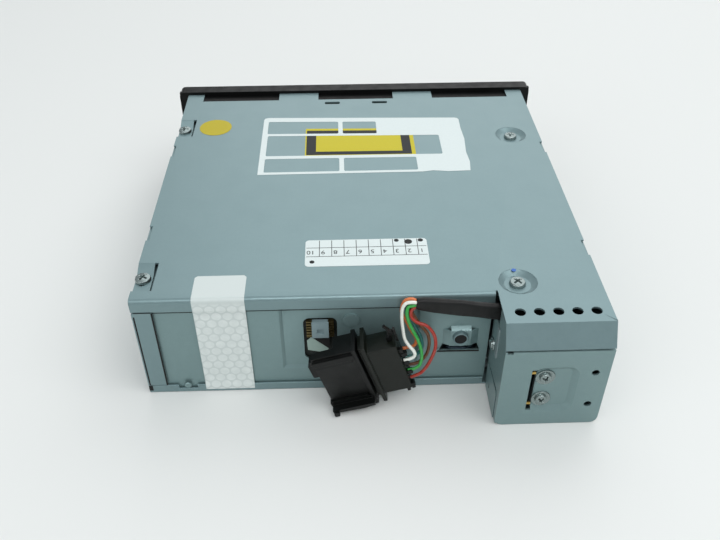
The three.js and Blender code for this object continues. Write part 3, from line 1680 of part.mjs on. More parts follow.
const wireRoutes = {
  wire_white: [
    [-16.5, 85.2, 50.5],
    [-14.2, 85.2, 50.2],
    [-12.9, 85.3, 48.4],
    [-12.5, 85.7, 44.5],
    [-13, 86.8, 38.8],
    [-13.8, 88.4, 34.6],
    [-15.6, 90.3, 31.4],
    [-18, 91.3, 29.4],
    [-17.6, 91.4, 27.6],
    [-13.44, 91.3, 26.3],
  ],
  wire_green: [
    [-16.5, 85.2, 48.8],
    [-15, 85.2, 48.3],
    [-14.4, 85.6, 46.4],
    [-14.7, 86.2, 43.5],
    [-16.4, 87.2, 39],
    [-18.9, 88.8, 34],
    [-20.4, 90.3, 27.6],
    [-19.6, 91, 23],
    [-17.6, 91.1, 21.3],
    [-15.24, 91.04, 20.56],
  ],
  wire_red: [
    [-16.5, 85.2, 47.1],
    [-15.9, 85.5, 46],
    [-16.2, 86.2, 43.9],
    [-18, 87, 42.2],
    [-21.8, 88, 41],
    [-24.7, 89, 37.3],
    [-25.5, 90, 32.2],
    [-23.8, 90.7, 25.2],
    [-20.6, 90.9, 18.9],
    [-16.58, 90.84, 16.27],
  ],
  wire_orange: [
    [-16.5, 83.3, 50.5],
    [-14.3, 83.3, 50.2],
    [-13.1, 83.3, 48.4],
    [-12.6, 83.4, 44.6],
    [-14.4, 83.8, 40],
    [-16.4, 84.4, 35.6],
    [-18.5, 85.4, 31.8],
    [-17.8, 86.2, 29.2],
    [-13.05, 86.6, 27.95],
  ],
  wire_teal: [
    [-16.5, 83.3, 48.8],
    [-15, 83.3, 48.3],
    [-14.6, 83.4, 46],
    [-15, 83.6, 42.5],
    [-17.6, 83.9, 37.8],
    [-20.4, 84.4, 31.6],
    [-20.9, 85.2, 26.6],
    [-18.6, 86.2, 23.9],
    [-14.55, 86.36, 23.18],
  ],
  wire_brown: [
    [-16.5, 83.3, 47.1],
    [-15.9, 83.4, 46],
    [-16.6, 83.7, 43.9],
    [-19.4, 84.2, 38.8],
    [-22.9, 84.8, 33.6],
    [-23.7, 85.2, 28.2],
    [-22.5, 85.7, 22.6],
    [-19.8, 86.1, 19.6],
    [-16.04, 86.13, 18.42],
  ],
};

const wireLooks = {
  wire_white: { color: 0xe6e6e0, roughness: 0.5, metalness: 0 },
  wire_orange: { color: 0xc8662a, roughness: 0.5, metalness: 0 },
  wire_green: { color: 0x2f9a3c, roughness: 0.5, metalness: 0 },
  wire_teal: { color: 0x1d6a66, roughness: 0.5, metalness: 0 },
  wire_red: { color: 0xa3241e, roughness: 0.5, metalness: 0 },
  wire_brown: { color: 0x6a3a1e, roughness: 0.5, metalness: 0 },
};

function makePlug() {
  const plug = new THREE.Group();
  plug.rotation.set(...plugAngles.map((angle) => THREE.MathUtils.degToRad(angle)));
  const t = plugThickness / 2;
  const w = plugWidth / 2;
  let front = join(
    block(-plugRoot, bite, -w, w, -t, t),
    block(-plugLength, bite - plugRoot, -w, w, t - plugSlab, t),
  );
  for (const side of [-1, 1]) {
    const y = side * (w - plugRibInset);
    front = join(front, block(-plugLength, bite, y - plugRib, y + plugRib, t - bite, t + plugRib));
    const rib = [-plugLength - plugRib, bite - plugLength];
    front = join(front, block(...rib, y - plugRib, y + plugRib, t - plugSlab + bite, t - bite));
  }
  const plateY = plateWidth / 2;
  const plateZ = plateHeight / 2;
  const plate = (x0) => block(x0, x0 + plateThickness, -plateY, plateY, -plateZ, plateZ);
  front = join(front, plate(0));
  const socketX = plateThickness + plateGap;
  addPart("harness_plug", front, blackPlastic, plug);
  const u = socketWidth / 2;
  const v = socketThickness / 2;
  const socketEnd = socketX + plateThickness + socketLength;
  let back = join(plate(socketX), block(socketX + bite, socketEnd, -u, u, -v, v));
  const backX = plateThickness + gap;
  back = join(back, block(backX, socketX + bite, -w + plugRib, w - plugRib, -t + plugRib, t - plugRib));
  addPart("harness_socket", back, blackPlastic, plug);
  plug.updateMatrixWorld(true);
  const bounds = new THREE.Box3().setFromObject(plug, true);
  plug.position.set(plugX, plugY, -bounds.min.z);
  changer.add(plug);
}

function makeLead() {
  const t = sleeveThickness / 2;
  const w = sleeveWidth / 2;
  const edge = w - t / 2;
  const sleeve = new THREE.Shape(
    [[-t / 2, -w], [t / 2, -w], [t, -edge], [t, edge], [t / 2, w], [-t / 2, w], [-t, edge], [-t, -edge]].map(
      ([a, b]) => new THREE.Vector2(a, b),
    ),
  );
  addPart("lead_sleeve", swept(sleeveRoute, sleeve, 12), rubber);
  const wire = new THREE.Shape(
    Array.from({ length: wireSides }, (_, i) => {
      const angle = (2 * Math.PI * i) / wireSides;
      return new THREE.Vector2(wireRadius * Math.cos(angle), wireRadius * Math.sin(angle));
    }),
  );
  for (const [name, route] of Object.entries(wireRoutes)) {
    addPart(name, swept(route, wire, wireSteps), wireLooks[name]);
  }
  makePlug();
}

makeTopCover();
makeBottomCover();
makeSidePlates();
makeRearPanel();
makeRearBox();
makeBezel();
makeFrontBoard();
makeButtons();
makeDeck();
makeCamScrews();
makeShiftPlate();
makeCamDrive();
makeTrays();
makeLoading();
makeDiscGuide();
makePlaybackArm();
makeBoards();
makeLead();

export default changer;
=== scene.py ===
# Looks of a slot-loading car disc changer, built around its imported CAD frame.
# The row frame has +Z up, the bezel towards -Y and the origin under the middle of the case.
import json
import math

import bmesh
import bpy
from mathutils import Matrix, Vector
from mathutils.geometry import tessellate_polygon


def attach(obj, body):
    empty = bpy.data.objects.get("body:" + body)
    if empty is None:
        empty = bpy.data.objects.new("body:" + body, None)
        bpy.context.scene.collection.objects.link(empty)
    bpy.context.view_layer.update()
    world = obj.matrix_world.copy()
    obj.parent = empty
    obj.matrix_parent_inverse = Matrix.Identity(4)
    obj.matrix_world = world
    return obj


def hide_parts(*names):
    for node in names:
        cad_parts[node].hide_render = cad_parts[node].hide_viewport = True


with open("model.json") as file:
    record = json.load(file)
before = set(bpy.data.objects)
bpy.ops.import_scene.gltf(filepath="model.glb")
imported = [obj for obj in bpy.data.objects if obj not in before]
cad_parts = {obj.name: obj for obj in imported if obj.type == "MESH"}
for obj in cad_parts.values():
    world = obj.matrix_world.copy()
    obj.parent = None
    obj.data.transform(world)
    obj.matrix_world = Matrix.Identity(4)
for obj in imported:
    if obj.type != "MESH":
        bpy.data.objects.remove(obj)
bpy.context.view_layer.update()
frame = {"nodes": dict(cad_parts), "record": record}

MM = 0.001
CASE = "case"
HALF_WIDTH = 90
REAR_FOLD = 80.5
X_AXIS = Vector((1, 0, 0))
Y_AXIS = Vector((0, 1, 0))
Z_AXIS = Vector((0, 0, 1))
MINUS_X = Vector((-1, 0, 0))
MINUS_Y = Vector((0, -1, 0))


def at(x, y, z):
    """A point measured on the photograph: x from the case's left side there, y in from the rear fold."""
    return Vector((HALF_WIDTH - x, REAR_FOLD - y, z)) * MM


def row(x, y, z):
    """A point of the row frame, from millimetres."""
    return Vector((x, y, z)) * MM


def add_object(name, data):
    obj = bpy.data.objects.new(name, data)
    bpy.context.collection.objects.link(obj)
    return obj


def evaluated_mesh(obj):
    """The object's shape as a mesh, with its modifiers applied."""
    depsgraph = bpy.context.evaluated_depsgraph_get()
    return bpy.data.meshes.new_from_object(obj.evaluated_get(depsgraph))


# Camera, at the photograph's viewing angle


def aim(obj, place, target, roll=0.0):
    direction = (target - place).normalized()
    turn = direction.to_track_quat("-Z", "Y").to_matrix()
    obj.matrix_world = Matrix.Translation(place) @ (turn @ Matrix.Rotation(roll, 3, "Z")).to_4x4()


CAMERA_PLACE = row(10, 301.5, 243)
CAMERA_SIGHT = Vector((-0.0245, -0.775, -0.632))
CAMERA_ROLL = math.radians(-0.15)

camera_data = bpy.data.cameras.new("camera")
camera_data.sensor_width = 36
camera_data.lens = 39.0
camera_data.clip_start = 0.01
camera = add_object("camera", camera_data)
aim(camera, CAMERA_PLACE, CAMERA_PLACE + CAMERA_SIGHT, CAMERA_ROLL)
bpy.context.scene.camera = camera


# Materials


def linear(red, green, blue):
    """A colour of the photograph's scale, 0 to 255, as the shader's linear one."""
    values = []
    for channel in (red, green, blue):
        share = channel / 255
        values.append(share / 12.92 if share <= 0.04045 else ((share + 0.055) / 1.055) ** 2.4)
    return (*values, 1.0)


# Sockets of a colour mix node
MIX_SHARE, MIX_FIRST, MIX_SECOND, MIX_RESULT = 0, 6, 7, 2


class Look:
    """A material with a few short ways to add nodes to it."""

    def __init__(self, name, color, roughness, metallic=0.0):
        self.material = bpy.data.materials.new(name)
        self.material.use_nodes = True
        self.tree = self.material.node_tree
        self.shader = self.tree.nodes["Principled BSDF"]
        self.shader.inputs["Base Color"].default_value = linear(*color)
        self.shader.inputs["Roughness"].default_value = roughness
        self.shader.inputs["Metallic"].default_value = metallic
        self.place = self.add("ShaderNodeTexCoord").outputs["Object"]

    def add(self, kind, inputs=None, **settings):
        node = self.tree.nodes.new(kind)
        for key, value in settings.items():
            setattr(node, key, value)
        for key, value in (inputs or {}).items():
            self.feed(node.inputs[key], value)
        return node

    def feed(self, socket, value):
        if isinstance(value, bpy.types.NodeSocket):
            self.tree.links.new(value, socket)
        else:
            socket.default_value = value

    def math(self, operation, first, second=0.0, clamp=False):
        node = self.add("ShaderNodeMath", {0: first, 1: second}, operation=operation, use_clamp=clamp)
        return node.outputs[0]

    def vector(self, operation, *values, output=0):
        node = self.add("ShaderNodeVectorMath", dict(enumerate(values)), operation=operation)
        return node.outputs[output]

    def scaled(self, factors):
        node = self.add("ShaderNodeMapping", {"Vector": self.place, "Scale": factors})
        return node.outputs["Vector"]

    def noise(self, scale, detail, source=None):
        inputs = {"Vector": source or self.place, "Scale": scale, "Detail": detail, "Roughness": 0.5}
        return self.add("ShaderNodeTexNoise", inputs).outputs["Fac"]

    def cells(self, scale, output="Color"):
        return self.add("ShaderNodeTexVoronoi", {"Vector": self.place, "Scale": scale}).outputs[output]

    def between(self, value, low, high, from_low=0.0, from_high=1.0, smooth=False):
        kind = "SMOOTHSTEP" if smooth else "LINEAR"
        inputs = {0: value, 1: from_low, 2: from_high, 3: low, 4: high}
        return self.add("ShaderNodeMapRange", inputs, interpolation_type=kind).outputs[0]

    def axis(self, name, source=None):
        node = self.add("ShaderNodeSeparateXYZ", {0: source or self.place})
        return node.outputs[name]

    def mix(self, share, first, second, **settings):
        inputs = {MIX_SHARE: share, MIX_FIRST: first, MIX_SECOND: second}
        node = self.add("ShaderNodeMix", data_type="RGBA", **settings)
        for socket, value in inputs.items():
            self.feed(node.inputs[socket], value)
        return node.outputs[MIX_RESULT]

    def mottled(self, color, share, grey):
        """The colour where the share is 1, and the colour times a grey where it is 0."""
        ground = self.mix(share, (grey, grey, grey, 1), (1, 1, 1, 1))
        return self.mix(1.0, linear(*color), ground, blend_type="MULTIPLY")

    def bump(self, height, distance, strength=1.0, under=None):
        inputs = {"Height": height, "Distance": distance, "Strength": strength}
        if under is not None:
            inputs["Normal"] = under
        return self.add("ShaderNodeBump", inputs).outputs["Normal"]

    def set(self, name, value):
        self.feed(self.shader.inputs[name], value)


def steel_look(name, color, dark, roughness=0.38, metallic=0.5):
    """Zinc-coated sheet: faint spangle, rolling streaks and handling marks."""
    look = Look(name, color, roughness, metallic)
    patches = look.noise(22, 3)
    spangle = look.axis("X", look.cells(650))
    streaks = look.noise(1, 3, look.scaled((1900, 46, 1900)))
    share = look.math("ADD", look.math("MULTIPLY", patches, 0.4), look.math("MULTIPLY", spangle, 0.3))
    share = look.math("ADD", share, look.math("MULTIPLY", streaks, 0.3), clamp=True)
    look.set("Base Color", look.mix(share, linear(*dark), linear(*color)))
    rub = look.between(look.noise(95, 5), 0.0, 1.0, 0.42, 0.66)
    rough = look.math("ADD", roughness - 0.02, look.math("MULTIPLY", rub, 0.035))
    look.set("Roughness", look.math("ADD", rough, look.math("MULTIPLY", spangle, 0.05)))
    fine = look.bump(look.noise(2600, 2), 0.00003, 0.5)
    look.set("Normal", look.bump(streaks, 0.00002, 0.6, fine))
    return look.material


def plastic_look(name, color, roughness, grain=1500.0, depth=0.00004, gloss=0.5):
    """Moulded plastic: fine spark-eroded grain, faint flow marks and rubbed patches."""
    wear = 0.08
    look = Look(name, color, roughness)
    look.set("Specular IOR Level", gloss)
    flow = look.between(look.noise(60, 4), 1.0 - wear, 1.0 + wear, 0.3, 0.7)
    look.set("Base Color", look.mottled(color, flow, 0.82))
    rub = look.between(look.noise(190, 5), -0.06, 0.07, 0.35, 0.65)
    look.set("Roughness", look.math("ADD", roughness, rub))
    look.set("Normal", look.bump(look.noise(grain, 2), depth, 0.7))
    return look.material


def board_look(name):
    """Green solder resist with faint traces and a few tinned pads."""
    look = Look(name, (24, 92, 52), 0.38)
    traces = look.between(look.axis("X", look.cells(420, "Distance")), 0.0, 1.0, 0.42, 0.5)
    pads = look.between(look.axis("X", look.cells(260, "Distance")), 1.0, 0.0, 0.07, 0.1)
    ground = look.mix(look.math("MULTIPLY", traces, 0.5), linear(20, 82, 46), linear(36, 116, 66))
    look.set("Base Color", look.mix(pads, ground, linear(196, 200, 190)))
    look.set("Normal", look.bump(traces, 0.00003, 0.5))
    return look.material


def print_look(name, color, roughness=0.42):
    """Printed paper or film: faint fibre and a little ink mottle."""
    look = Look(name, color, roughness)
    look.set("Specular IOR Level", 0.25)
    mottle = look.between(look.noise(800, 4), 0.9, 1.0, 0.3, 0.7)
    look.set("Base Color", look.mottled(color, mottle, 0.72))
    look.set("Normal", look.bump(look.noise(1800, 2), 0.00001, 0.4))
    return look.material


def seal_look(name):
    """Pale tamper-evident film with its honeycomb of lighter rounds."""
    pale, dim = (216, 223, 221), (196, 205, 203)
    look = Look(name, pale, 0.34)
    place = look.add("ShaderNodeTexCoord").outputs["UV"]
    middle, row_stretch = (0.5, 0.5, 0.0), (1.0, 1.732, 0.0)
    nearest = None
    for shift in ((0.0, 0.0, 0.0), middle):
        cell = look.vector("FRACTION", look.vector("ADD", place, shift))
        offset = look.vector("MULTIPLY", look.vector("SUBTRACT", cell, middle), row_stretch)
        reach = look.vector("LENGTH", offset, output="Value")
        nearest = reach if nearest is None else look.math("MINIMUM", nearest, reach)
    lower = look.between(look.axis("Y", place), 0.0, 1.0, 2.0, 2.3)
    rounds = look.math("MULTIPLY", lower, look.between(nearest, 1.0, 0.0, 0.4, 0.47, smooth=True))
    mottle = look.noise(420, 4)
    share = look.math("MULTIPLY", rounds, look.between(mottle, 0.45, 1.0, 0.3, 0.7))
    look.set("Base Color", look.mix(share, linear(*dim), linear(*pale)))
    look.set("Normal", look.bump(look.noise(300, 3), 0.00006, 0.4))
    return look.material


def rubber_look(name, color, roughness=0.62):
    """Soft black sleeving: fine creases across it and a dull skin."""
    look = Look(name, color, roughness)
    look.set("Specular IOR Level", 0.35)
    creases = look.noise(1, 4, look.scaled((420, 160, 160)))
    look.set("Roughness", look.between(creases, roughness - 0.12, roughness + 0.1, 0.3, 0.7))
    look.set("Normal", look.bump(creases, 0.00025, 0.5, look.bump(look.noise(2200, 2), 0.00003, 0.5)))
    return look.material


def wire_look(name, color):
    """Shiny insulation, a little dusty."""
    look = Look(name, color, 0.34)
    dust = look.between(look.noise(500, 4), 0.0, 0.14, 0.4, 0.75)
    look.set("Base Color", look.mix(dust, linear(*color), linear(150, 150, 140)))
    look.set("Roughness", look.between(look.noise(260, 3), 0.28, 0.46, 0.3, 0.7))
    look.set("Normal", look.bump(look.noise(900, 2), 0.00004, 0.4))
    return look.material


def bright_look(name, color, roughness=0.24):
    """Plated screw heads and pins: bright with small dull marks."""
    look = Look(name, color, roughness, 0.9)
    marks = look.noise(700, 4)
    look.set("Roughness", look.between(marks, roughness - 0.04, roughness + 0.1, 0.35, 0.7))
    look.set("Normal", look.bump(marks, 0.00001, 0.4))
    return look.material


COVER = (124, 147, 150)
COVER_DARK = (117, 140, 143)
# The rear faces get a copy of the cover's steel set a little lighter: painted light for the rear faces
BACK_LIGHTENED = (125, 149, 150)
BACK_LIGHTENED_PATCHES = (118, 142, 143)
looks = {
    "steel": steel_look("galvanised_steel", COVER, COVER_DARK),
    "rear": steel_look("galvanised_rear_lightened", BACK_LIGHTENED, BACK_LIGHTENED_PATCHES),
    "zinc": steel_look("zinc_steel", (176, 188, 190), (150, 162, 165), 0.32, 0.75),
    "bezel": plastic_look("bezel_plastic", (8, 9, 9), 0.46, 1300, 0.00006, gloss=0.2),
    "button": plastic_look("button_plastic", (26, 28, 29), 0.42, 1900, 0.00003, gloss=0.4),
    "black": plastic_look("black_plastic", (5, 7, 6), 0.4, 1500, 0.00004, gloss=0.28),
    # The socket's black carries a faint green tint: painted green bounce light
    "green_bounce_black": plastic_look("black_plastic_green_bounce", (10, 15, 8), 0.4, 1500, 0.00004, gloss=0.3),
    "grey_plastic": plastic_look("grey_plastic", (126, 146, 150), 0.45, 1700, 0.00003),
    "white_plastic": plastic_look("white_plastic", (206, 212, 208), 0.45, 1700, 0.00003),
    "board": board_look("circuit_board"),
    "dark_board": plastic_look("shaded_board", (12, 20, 15), 0.6),
    "rubber": rubber_look("rubber", (6, 7, 7), 0.5),
    "brass": bright_look("brass", (196, 164, 92), 0.3),
    "bright": bright_look("bright_zinc", (140, 152, 151)),
    # The chrome is set dark blue-grey as painted shade inside the case; its glints come from the lamps
    "chrome_painted_dark": bright_look("chrome_painted_dark", (66, 80, 90), 0.16),
    "gold": bright_look("gold_pins", (112, 100, 66), 0.3),
    # Painted shade: a near-black sheet laid into holes, slots and gaps where only shade falls
    "painted_shade": plastic_look("painted_shade_dark", (6, 7, 7), 0.8),
    "label": print_look("white_label", (210, 220, 219)),
    "yellow": print_look("yellow_label", (190, 178, 8)),
    "round": print_look("yellow_round_label", (178, 163, 14)),
    "ink": print_look("black_ink", (24, 27, 27), 0.5),
    "blue_ink": print_look("blue_ink", (66, 108, 182), 0.5),
    "seal": seal_look("seal_film"),
    "legend": print_look("button_legend", (214, 220, 218), 0.45),
    "flat_cable": print_look("flat_cable", (150, 172, 164), 0.35),
    "wire_white": wire_look("wire_white", (226, 230, 222)),
    "wire_orange": wire_look("wire_orange", (206, 112, 58)),
    "wire_green": wire_look("wire_green", (40, 152, 62)),
    "wire_teal": wire_look("wire_teal", (18, 98, 92)),
    "wire_red": wire_look("wire_red", (154, 34, 16)),
    "wire_brown": wire_look("wire_brown", (104, 62, 30)),
}


# Making pieces


def mesh_piece(name, points, faces, look, body, smooth):
    mesh = bpy.data.meshes.new(name)
    mesh.from_pydata([tuple(p) for p in points], [], faces)
    mesh.materials.append(looks[look])
    mesh.validate()
    shade(mesh, smooth)
    obj = add_object(name, mesh)
    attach(obj, body)
    return obj


def shade(mesh, smooth):
    for polygon in mesh.polygons:
        polygon.use_smooth = True
    mesh.set_sharp_from_angle(angle=math.radians(smooth))


def frame_axes(normal):
    """Two directions across a normal, the first as level as can be."""
    normal = normal.normalized()
    level = Z_AXIS.cross(normal)
    if level.length < 0.1:
        level = X_AXIS.copy()
    level.normalize()
    return level, normal.cross(level), normal


def spokes_round(across, up, steps):
    turns = [2 * math.pi * i / steps for i in range(steps)]
    return [across * math.cos(turn) + up * math.sin(turn) for turn in turns]


def ring_faces(rings, steps, first=0):
    """Quads between rings of points, which follow each other from index first."""
    faces = []
    for k in range(rings - 1):
        a = first + k * steps
        for i in range(steps):
            j = (i + 1) % steps
            faces.append((a + i, a + j, a + steps + j, a + steps + i))
    return faces


def tube_faces(rings, steps):
    """The quads between the rings and a face over each end."""
    ends = [tuple(range(steps)), tuple((rings - 1) * steps + i for i in reversed(range(steps)))]
    return ring_faces(rings, steps) + ends


def plate(name, outline, origin, axes, thickness, look, holes=(), body=CASE):
    """A thin sheet: its outline and holes lie across the first two axes, and it rises along the third."""
    rings = [outline, *holes]
    across, up, out = axes
    flat = [origin + across * (a * MM) + up * (b * MM) for ring in rings for a, b in ring]
    triangles = tessellate_polygon([[Vector((a, b, 0)) for a, b in ring] for ring in rings])
    count = len(flat)
    points = flat + [p + out * (thickness * MM) for p in flat]
    faces = []
    for a, b, c in triangles:
        normal = (flat[b] - flat[a]).cross(flat[c] - flat[a])
        if normal.dot(out) < 0:
            a, b, c = a, c, b
        faces.append((a + count, b + count, c + count))
        faces.append((a, c, b))
    start = 0
    for ring in rings:
        n = len(ring)
        for i in range(n):
            a, b = start + i, start + (i + 1) % n
            faces.append((a, b, b + count, a + count))
        start += n
    fix_normals(mesh_piece(name, points, faces, look, body, 30))


def fix_normals(obj):
    bm = bmesh.new()
    bm.from_mesh(obj.data)
    bmesh.ops.recalc_face_normals(bm, faces=bm.faces)
    bm.to_mesh(obj.data)
    bm.free()


def rounded(x0, x1, y0, y1, radius, steps=5):
    points = []
    corners = [(x1 - radius, y1 - radius, 0), (x0 + radius, y1 - radius, 90)]
    corners += [(x0 + radius, y0 + radius, 180), (x1 - radius, y0 + radius, 270)]
    for cx, cy, start in corners:
        for i in range(steps + 1):
            angle = math.radians(start + 90 * i / steps)
            points.append((cx + radius * math.cos(angle), cy + radius * math.sin(angle)))
    return points


def circle(x, y, radius, steps=32):
    turn = 2 * math.pi / steps
    return [(x + radius * math.cos(i * turn), y + radius * math.sin(i * turn)) for i in range(steps)]


def lathe(name, profile, centre, normal, look, steps=32):
    """A turned piece: profile is (radius, height) pairs in mm, from the middle out and round."""
    across, up, out = frame_axes(normal)
    spokes = spokes_round(across, up, steps)
    points = []
    for radius, height in profile:
        points += [centre + spoke * (radius * MM) + out * (height * MM) for spoke in spokes]
    fix_normals(mesh_piece(name, points, tube_faces(len(profile), steps), look, CASE, 40))


def screw(name, centre, normal, radius, height, washer=0.0, turn=0.0):
    """A domed screw head with a pressed cross, on a washer where it has one."""
    across, up, out = frame_axes(normal)
    rings, steps = 22, 64
    sunk = 0.3
    edge, edge_width = 0.86, 0.14
    arm, half_arm = radius * 0.62, radius * 0.13
    spokes = spokes_round(across, up, steps)
    points = [centre - out * (sunk * MM)]
    for k in range(rings + 1):
        share = k / rings
        r = radius * share
        for i, spoke in enumerate(spokes):
            angle = 2 * math.pi * i / steps
            a, b = r * math.cos(angle + turn), r * math.sin(angle + turn)
            dome = height * (1 - 0.28 * share**2)
            if share > edge:
                dome -= height * 0.5 * ((share - edge) / edge_width) ** 2
            reach = max(0.0, 1 - max(abs(a), abs(b)) / arm)
            narrow = max(0.0, 1 - (min(abs(a), abs(b)) / half_arm) ** 4)
            dome -= height * 0.75 * min(1.0, reach * 2.6) * narrow
            points.append(centre + spoke * (r * MM) + out * (dome * MM))
    faces = ring_faces(rings + 1, steps, 1)
    rim = 1 + rings * steps
    base = len(points)
    points += [centre + spoke * (radius * MM) - out * (sunk * MM) for spoke in spokes]
    for i in range(steps):
        j = (i + 1) % steps
        faces.append((rim + i, rim + j, base + j, base + i))
        faces.append((0, base + i, base + j))
    bm = bmesh.new()
    made = [bm.verts.new(p) for p in points]
    for face in faces:
        bm.faces.new([made[i] for i in face])
    bmesh.ops.remove_doubles(bm, verts=bm.verts, dist=1e-6)
    bmesh.ops.recalc_face_normals(bm, faces=bm.faces)
    mesh = bpy.data.meshes.new(name)
    bm.to_mesh(mesh)
    bm.free()
    mesh.materials.append(looks["bright"])
    shade(mesh, 45)
    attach(add_object(name, mesh), CASE)
    if washer:
        ring = [(radius * 0.5, -0.1), (radius * 0.5, 0.55), (radius * 1.04, 0.3), (washer - 0.5, 0.62)]
        ring += [(washer - 0.15, 0.55), (washer, 0.25), (washer, -0.1)]
        lathe(name + "_washer", ring, centre, normal, "bright", 48)


def soften(node, width, look, segments=2, angle=32, smooth=34, *, slot):
    """The CAD node's own shape with its edges rounded over, shown in its place."""
    source = frame["nodes"][node]
    bm = bmesh.new()
    bm.from_mesh(source.data)
    bmesh.ops.remove_doubles(bm, verts=bm.verts, dist=2e-6)
    bmesh.ops.dissolve_limit(bm, angle_limit=math.radians(0.6), verts=bm.verts, edges=bm.edges)
    mesh = bpy.data.meshes.new(node + "_shown")
    bm.to_mesh(mesh)
    bm.free()
    shade(mesh, smooth)
    obj = add_object(node + "_shown", mesh)
    bevel = obj.modifiers.new("edges", "BEVEL")
    bevel.width = width * MM
    bevel.segments = segments
    bevel.limit_method = "ANGLE"
    bevel.angle_limit = math.radians(angle)
    bevel.use_clamp_overlap = True
    bevel.harden_normals = True
    made = evaluated_mesh(obj)
    obj.modifiers.clear()
    obj.data = made
    made.name = node + "_shown"
    made.materials.clear()
    made.materials.append(looks[look])
    for polygon in made.polygons:
        polygon.material_index = 0
    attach(obj, body_of[node])
    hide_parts(node)
    return obj


body_of = {
    member: body_name
    for body_name, members in frame["record"]["behaviour"]["bodies"].items()
    for member in members
}


# Cords first: the sleeve and the wires, along the same routes as their solids


def smooth_line(points, steps):
    """A centripetal curve through the points, in row metres."""
    ends = [points[0] * 2 - points[1], *points, points[-1] * 2 - points[-2]]
    line = []
    spans = len(points) - 1
    for step in range(steps + 1):
        place = min(step / steps * spans, spans - 1e-6)
        k = int(place)
        share = place - k
        p0, p1, p2, p3 = ends[k : k + 4]
        t0 = 0.0
        t1 = t0 + max((p1 - p0).length, 1e-9) ** 0.5
        t2 = t1 + max((p2 - p1).length, 1e-9) ** 0.5
        t3 = t2 + max((p3 - p2).length, 1e-9) ** 0.5
        t = t1 + (t2 - t1) * share
        a1 = p0 * ((t1 - t) / (t1 - t0)) + p1 * ((t - t0) / (t1 - t0))
        a2 = p1 * ((t2 - t) / (t2 - t1)) + p2 * ((t - t1) / (t2 - t1))
        a3 = p2 * ((t3 - t) / (t3 - t2)) + p3 * ((t - t2) / (t3 - t2))
        b1 = a1 * ((t2 - t) / (t2 - t0)) + a2 * ((t - t0) / (t2 - t0))
        b2 = a2 * ((t3 - t) / (t3 - t1)) + a3 * ((t - t1) / (t3 - t1))
        line.append(b1 * ((t2 - t) / (t2 - t1)) + b2 * ((t - t1) / (t2 - t1)))
    return line


WIRE_RADIUS = 0.66
SLEEVE_STEPS = 60
WIRE_STEPS = 78
sleeve_route = [(-68, 85, 43.8), (-60, 85, 43.8), (-51.8, 85, 44.3), (-46, 85, 45.2), (-40, 84.9, 46.1),
                (-33, 84.7, 47), (-26, 84.4, 47.9), (-20.5, 84.1, 48.6), (-17.8, 84, 48.9)]
wire_routes = {
    "wire_white": [(-16.5, 85.2, 50.5), (-14.2, 85.2, 50.2), (-12.9, 85.3, 48.4), (-12.5, 85.7, 44.5),
                   (-13, 86.8, 38.8), (-13.8, 88.4, 34.6), (-15.4, 89.8, 32.4), (-17, 90.8, 30.9),
                   (-17.6, 91.25, 29.3), (-17, 91.4, 27.9), (-15.5, 91.35, 26.95), (-13.44, 91.3, 26.3)],
    "wire_orange": [(-16.5, 83.3, 50.5), (-14.3, 83.3, 50.2), (-13.1, 83.3, 48.4), (-12.6, 83.4, 44.6),
                    (-14.4, 83.8, 40), (-16.4, 84.4, 35.6), (-18.5, 85.4, 31.8), (-17.8, 86.2, 29.2),
                    (-13.05, 86.6, 27.95)],
    "wire_green": [(-16.5, 85.2, 48.8), (-15, 85.2, 48.3), (-14.4, 85.6, 46.4), (-14.7, 86.2, 43.5),
                   (-16.4, 87.2, 39), (-18.9, 88.8, 34), (-20.4, 90.3, 27.6), (-19.6, 91, 23),
                   (-17.6, 91.1, 21.3), (-15.24, 91.04, 20.56)],
    "wire_teal": [(-16.5, 83.3, 48.8), (-15, 83.3, 48.3), (-14.6, 83.4, 46), (-15, 83.6, 42.5),
                  (-17.6, 83.9, 37.8), (-20.4, 84.4, 31.6), (-20.9, 85.2, 26.6), (-18.6, 86.2, 23.9),
                  (-14.55, 86.36, 23.18)],
    "wire_red": [(-16.5, 85.2, 47.1), (-15.9, 85.5, 46), (-16.2, 86.2, 43.9), (-18, 87, 42.2),
                 (-21.8, 88, 41), (-24.7, 89, 37.3), (-25.5, 90, 32.2), (-23.8, 90.7, 25.2),
                 (-20.6, 90.9, 18.9), (-16.58, 90.84, 16.27)],
    "wire_brown": [(-16.5, 83.3, 47.1), (-15.9, 83.4, 46), (-16.6, 83.7, 43.9), (-19.4, 84.2, 38.8),
                   (-22.9, 84.8, 33.6), (-23.7, 85.2, 28.2), (-22.5, 85.7, 22.6), (-19.8, 86.1, 19.6),
                   (-16.04, 86.13, 18.42)],
}


def tube(name, line, section, look):
    """A mesh tube along a line: section gives the (side, up) offsets in mm at a share of the way."""
    points = []
    last = len(line) - 1
    for k, place in enumerate(line):
        before, after = line[max(k - 1, 0)], line[min(k + 1, last)]
        along = (after - before).normalized()
        side = along.cross(Z_AXIS)
        if side.length < 0.2:
            side = along.cross(Y_AXIS)
        side.normalize()
        up = side.cross(along)
        ring = section(k / last)
        points += [place + side * (a * MM) + up * (b * MM) for a, b in ring]
    obj = mesh_piece(name, points, tube_faces(len(line), len(ring)), look, CASE, 60)
    fix_normals(obj)
    return obj


def wire_curve(name, line, radius, look):
    data = bpy.data.curves.new(name, "CURVE")
    data.dimensions = "3D"
    data.bevel_depth = radius * MM
    data.bevel_resolution = 4
    data.use_fill_caps = True
    spline = data.splines.new("POLY")
    spline.points.add(len(line) - 1)
    for point, place in zip(spline.points, line):
        point.co = (*place, 1.0)
    data.materials.append(looks[look])
    obj = add_object(name, data)
    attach(obj, CASE)
    return obj


